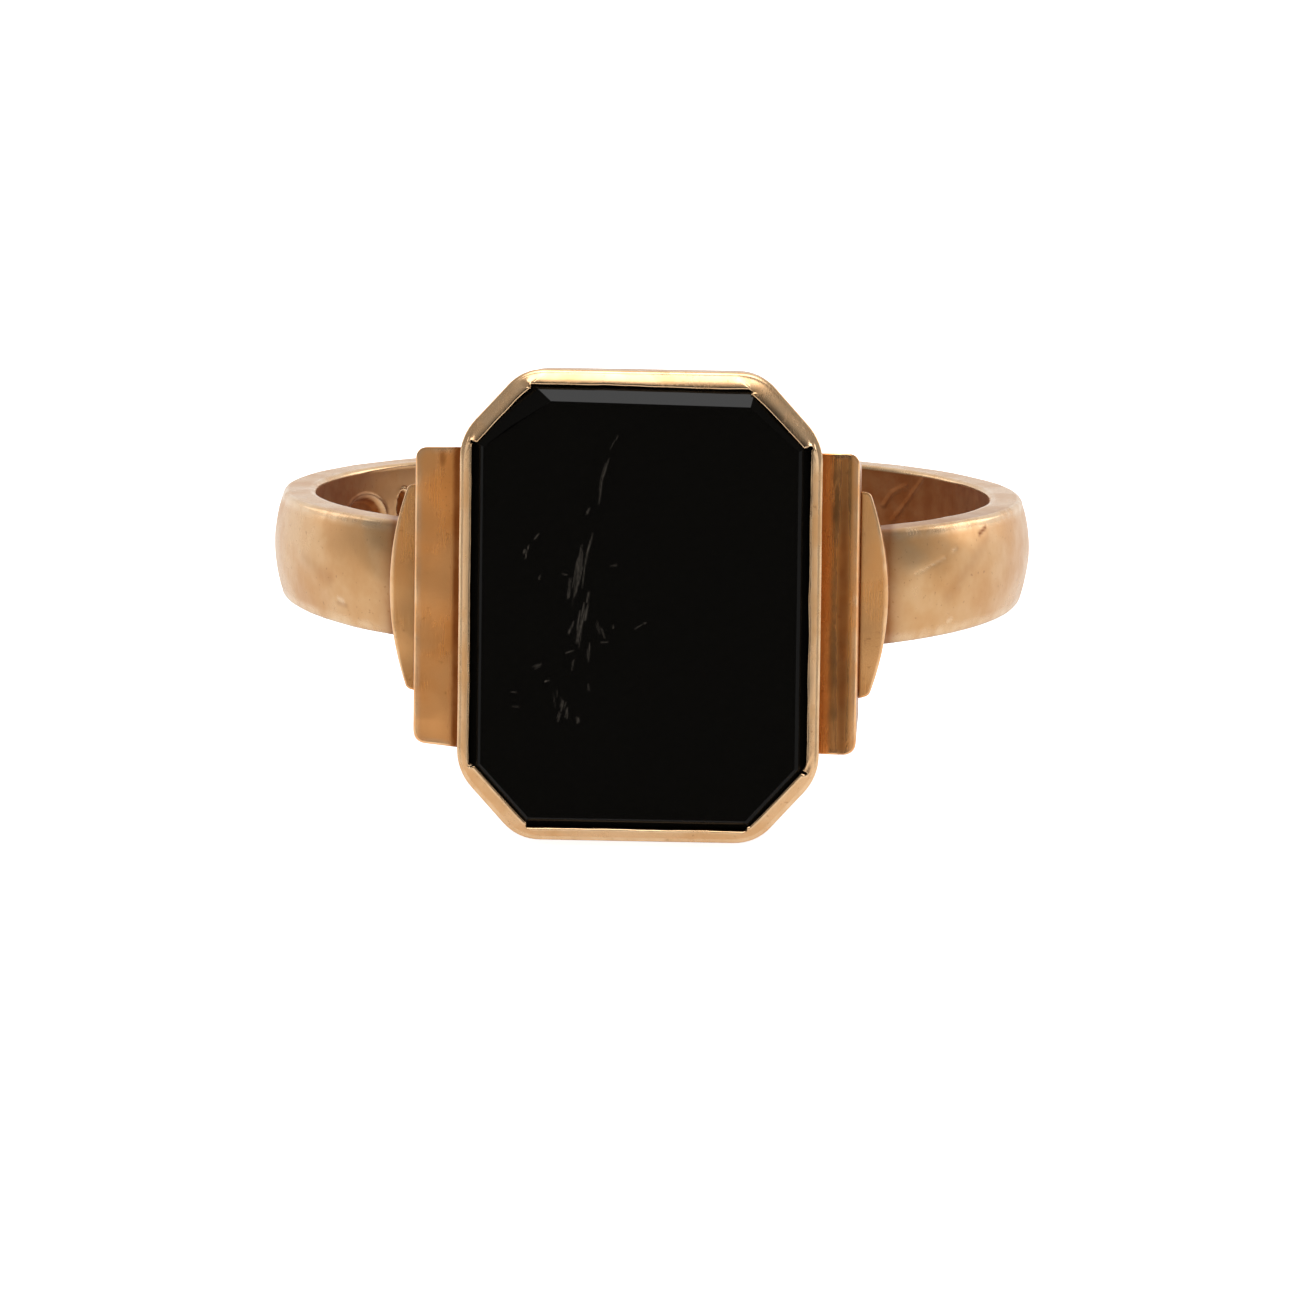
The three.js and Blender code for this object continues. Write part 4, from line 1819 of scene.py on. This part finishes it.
@dataclass
class Studio:
    """The floor, the soft light round the ring and the camera."""

    camera_distance: float = 350.0
    camera_lens: float = 355.4
    sensor: float = 36.0
    around_deg: float = -2.2
    above_band_deg: float = 8.5
    roll_deg: float = 0.7
    aim_across: float = -0.158
    aim_along: float = -2.807
    floor_size: float = 4.0
    floor_colour: tuple[float, float, float, float] = (0.86, 0.86, 0.86, 1.0)
    floor_glow: float = 0.9
    floor_fill: float = 0.1
    back_level: float = 1.15
    side_level: float = 0.37
    front_level: float = 0.42
    zenith_extra: float = 0.75
    core_level: float = 0.03
    core_way: tuple[float, float, float] = (0.0, -0.996, 0.09)
    backdrop: float = 1.2

    def build_floor(self) -> bpy.types.Object:
        """A plain pale table top.

        Returns:
            The floor.
        """
        half = self.floor_size / 2
        mesh = bpy.data.meshes.new("table_top")
        corners = [(-half, -half, 0), (half, -half, 0), (half, half, 0), (-half, half, 0)]
        mesh.from_pydata(corners, [], [(0, 1, 2, 3)])
        floor = bpy.data.objects.new("table_top", mesh)
        bpy.context.scene.collection.objects.link(floor)
        material = bpy.data.materials.new("pale_table")
        material.use_nodes = True
        surface = material.node_tree.nodes["Principled BSDF"]
        surface.inputs["Base Color"].default_value = self.floor_colour
        surface.inputs["Roughness"].default_value = 0.9
        surface.inputs["Specular IOR Level"].default_value = 0.0
        surface.inputs["Emission Strength"].default_value = self.floor_glow
        seen = material.node_tree.nodes.new("ShaderNodeLightPath").outputs["Is Camera Ray"]
        glow = material.node_tree.nodes.new("ShaderNodeMapRange")
        glow.inputs["To Min"].default_value = self.floor_fill
        material.node_tree.links.new(seen, glow.inputs["Value"])
        material.node_tree.links.new(glow.outputs["Result"], surface.inputs["Emission Color"])
        mesh.materials.append(material)
        return floor

    def build_surround(self) -> None:
        """A white surround that is dark in front, low down, where the camera stands."""
        world = bpy.data.worlds.new("studio")
        world.use_nodes = True
        bpy.context.scene.world = world
        desk = Desk(world.node_tree)
        direction = desk.node("ShaderNodeTexCoord").outputs["Generated"]
        parts = desk.node("ShaderNodeSeparateXYZ")
        desk.feed(parts.inputs[0], direction)
        behind = desk.ramp(parts.outputs["Y"], 0.1, 0.85, self.side_level, self.back_level)
        sides = desk.ramp(parts.outputs["Y"], 0.0, -0.7, 0.0, self.front_level - self.side_level)
        core = desk.vector("DOT_PRODUCT", direction, self.core_way).outputs["Value"]
        dark = desk.ramp(core, 0.86, 0.97)
        overhead = desk.ramp(parts.outputs["Z"], 0.72, 0.93, 0.0, self.zenith_extra)
        open_air = desk.maths("ADD", desk.maths("ADD", behind, sides), overhead)
        darkening = desk.maths("MULTIPLY", dark, desk.maths("SUBTRACT", open_air, self.core_level))
        strength = desk.maths("SUBTRACT", open_air, darkening)
        lit = desk.node("ShaderNodeBackground")
        desk.feed(lit.inputs["Strength"], strength)
        plain = desk.node("ShaderNodeBackground")
        plain.inputs["Strength"].default_value = self.backdrop
        seen = desk.node("ShaderNodeLightPath").outputs["Is Camera Ray"]
        mix = desk.node("ShaderNodeMixShader")
        desk.feed(mix.inputs[0], seen)
        desk.feed(mix.inputs[1], lit.outputs[0])
        desk.feed(mix.inputs[2], plain.outputs[0])
        desk.feed(desk.node("ShaderNodeOutputWorld").inputs["Surface"], mix.outputs[0])

    def soft_box(self, name: str, place: tuple[float, float, float], size: float, power: float) -> None:
        """A square area light that looks at the ring.

        Args:
            name: The light's name.
            place: Its place in metres.
            size: Its side in metres.
            power: Its power in watts.
        """
        light = bpy.data.lights.new(name, "AREA")
        light.size = size
        light.energy = power
        lamp = bpy.data.objects.new(name, light)
        lamp.location = place
        lamp.rotation_euler = (-Vector(place)).to_track_quat("-Z", "Y").to_euler()
        bpy.context.scene.collection.objects.link(lamp)

    def build_lights(self) -> None:
        """A large soft box above and in front, and a paler one each side."""
        self.soft_box("top_box", (0.0, -0.2, 0.37), 0.34, 1.0)
        self.soft_box("left_box", (-0.5, 0.35, 0.12), 0.3, 0.27)
        self.soft_box("right_box", (0.5, 0.35, 0.12), 0.3, 0.5)

    def build_camera(self, axes: RingAxes) -> bpy.types.Object:
        """The camera, placed from the plane of the band.

        Args:
            axes: The ring's axes.

        Returns:
            The camera, set as the scene's camera.
        """
        around, above = math.radians(self.around_deg), math.radians(self.above_band_deg)
        roll = math.radians(self.roll_deg)
        ahead = Vector(
            (math.sin(around) * math.cos(above), -math.sin(above), -math.cos(around) * math.cos(above))
        )
        level = Vector((math.cos(around), 0.0, math.sin(around)))
        upright = Vector(
            (math.sin(around) * math.sin(above), math.cos(above), -math.cos(around) * math.sin(above))
        )
        right = level * math.cos(roll) + upright * math.sin(roll)
        up = upright * math.cos(roll) - level * math.sin(roll)
        eye = level * self.aim_across + upright * self.aim_along - ahead * self.camera_distance
        lens = bpy.data.cameras.new("camera")
        lens.lens = self.camera_lens
        lens.sensor_width = self.sensor
        lens.clip_start = 0.01
        lens.clip_end = 10.0
        camera = bpy.data.objects.new("camera", lens)
        turn = Matrix((right, up, -ahead)).transposed().to_4x4()
        camera.matrix_world = axes.matrix @ Matrix.Translation(eye * MM) @ turn
        bpy.context.scene.collection.objects.link(camera)
        bpy.context.scene.camera = camera
        return camera


# ---- The whole --------------------------------------------------------------------------------------


def main() -> None:
    """Builds the studio and the ring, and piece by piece."""
    logging.basicConfig(level=logging.INFO, format="%(name)s: %(message)s")
    axes = RingAxes.from_record(frame["record"], SIZES)
    studio = Studio()
    studio.build_camera(axes)
    studio.build_floor()
    studio.build_surround()
    studio.build_lights()
    bpy.context.scene.view_settings.view_transform = "Standard"

    wardrobe = Wardrobe(axes)
    wardrobe.dress(Band().build(axes), "band", "shank")
    head = Head()
    wardrobe.dress(head.plate(axes), "inside", "back_plate")
    wardrobe.dress(head.strap(axes), "bezel", "bezel_strap")
    wardrobe.dress(head.seat(axes), "inside", "stone_seat")
    wardrobe.dress(head.stone(axes), "onyx", "onyx_plaque")
    shoulders = (
        Shoulder(Side.LEFT, stains_and_reflection=((-5.19, 3.73, 0.1, 0.26, 0.7),)),
        Shoulder(
            Side.RIGHT,
            bar_crown=Crown(0.6, 0.2, 0.77, 0.05),
            moon_crown=Crown(0.0, 0.05, 0.85, 0.03, 0.3),
            # A painted reflection: the long dark stripe down the middle of the right bar.
            stains_and_reflection=((5.53, -0.3, 0.16, 4.6, 0.85),),
            inner_shade=0.0,
            joint_shade=0.15,
            joint_width=0.1,
            moon_slant=0.05,
            seed=47,
        ),
    )
    for shoulder in shoulders:
        name = shoulder.side.name.lower()
        wardrobe.dress(shoulder.bar(axes), "steps", f"{name}_shoulder_bar")
        wardrobe.dress(shoulder.half_moon(axes), "moons", f"{name}_half_moon")

    bpy.context.view_layer.update()


if __name__ == "__main__":
    main()
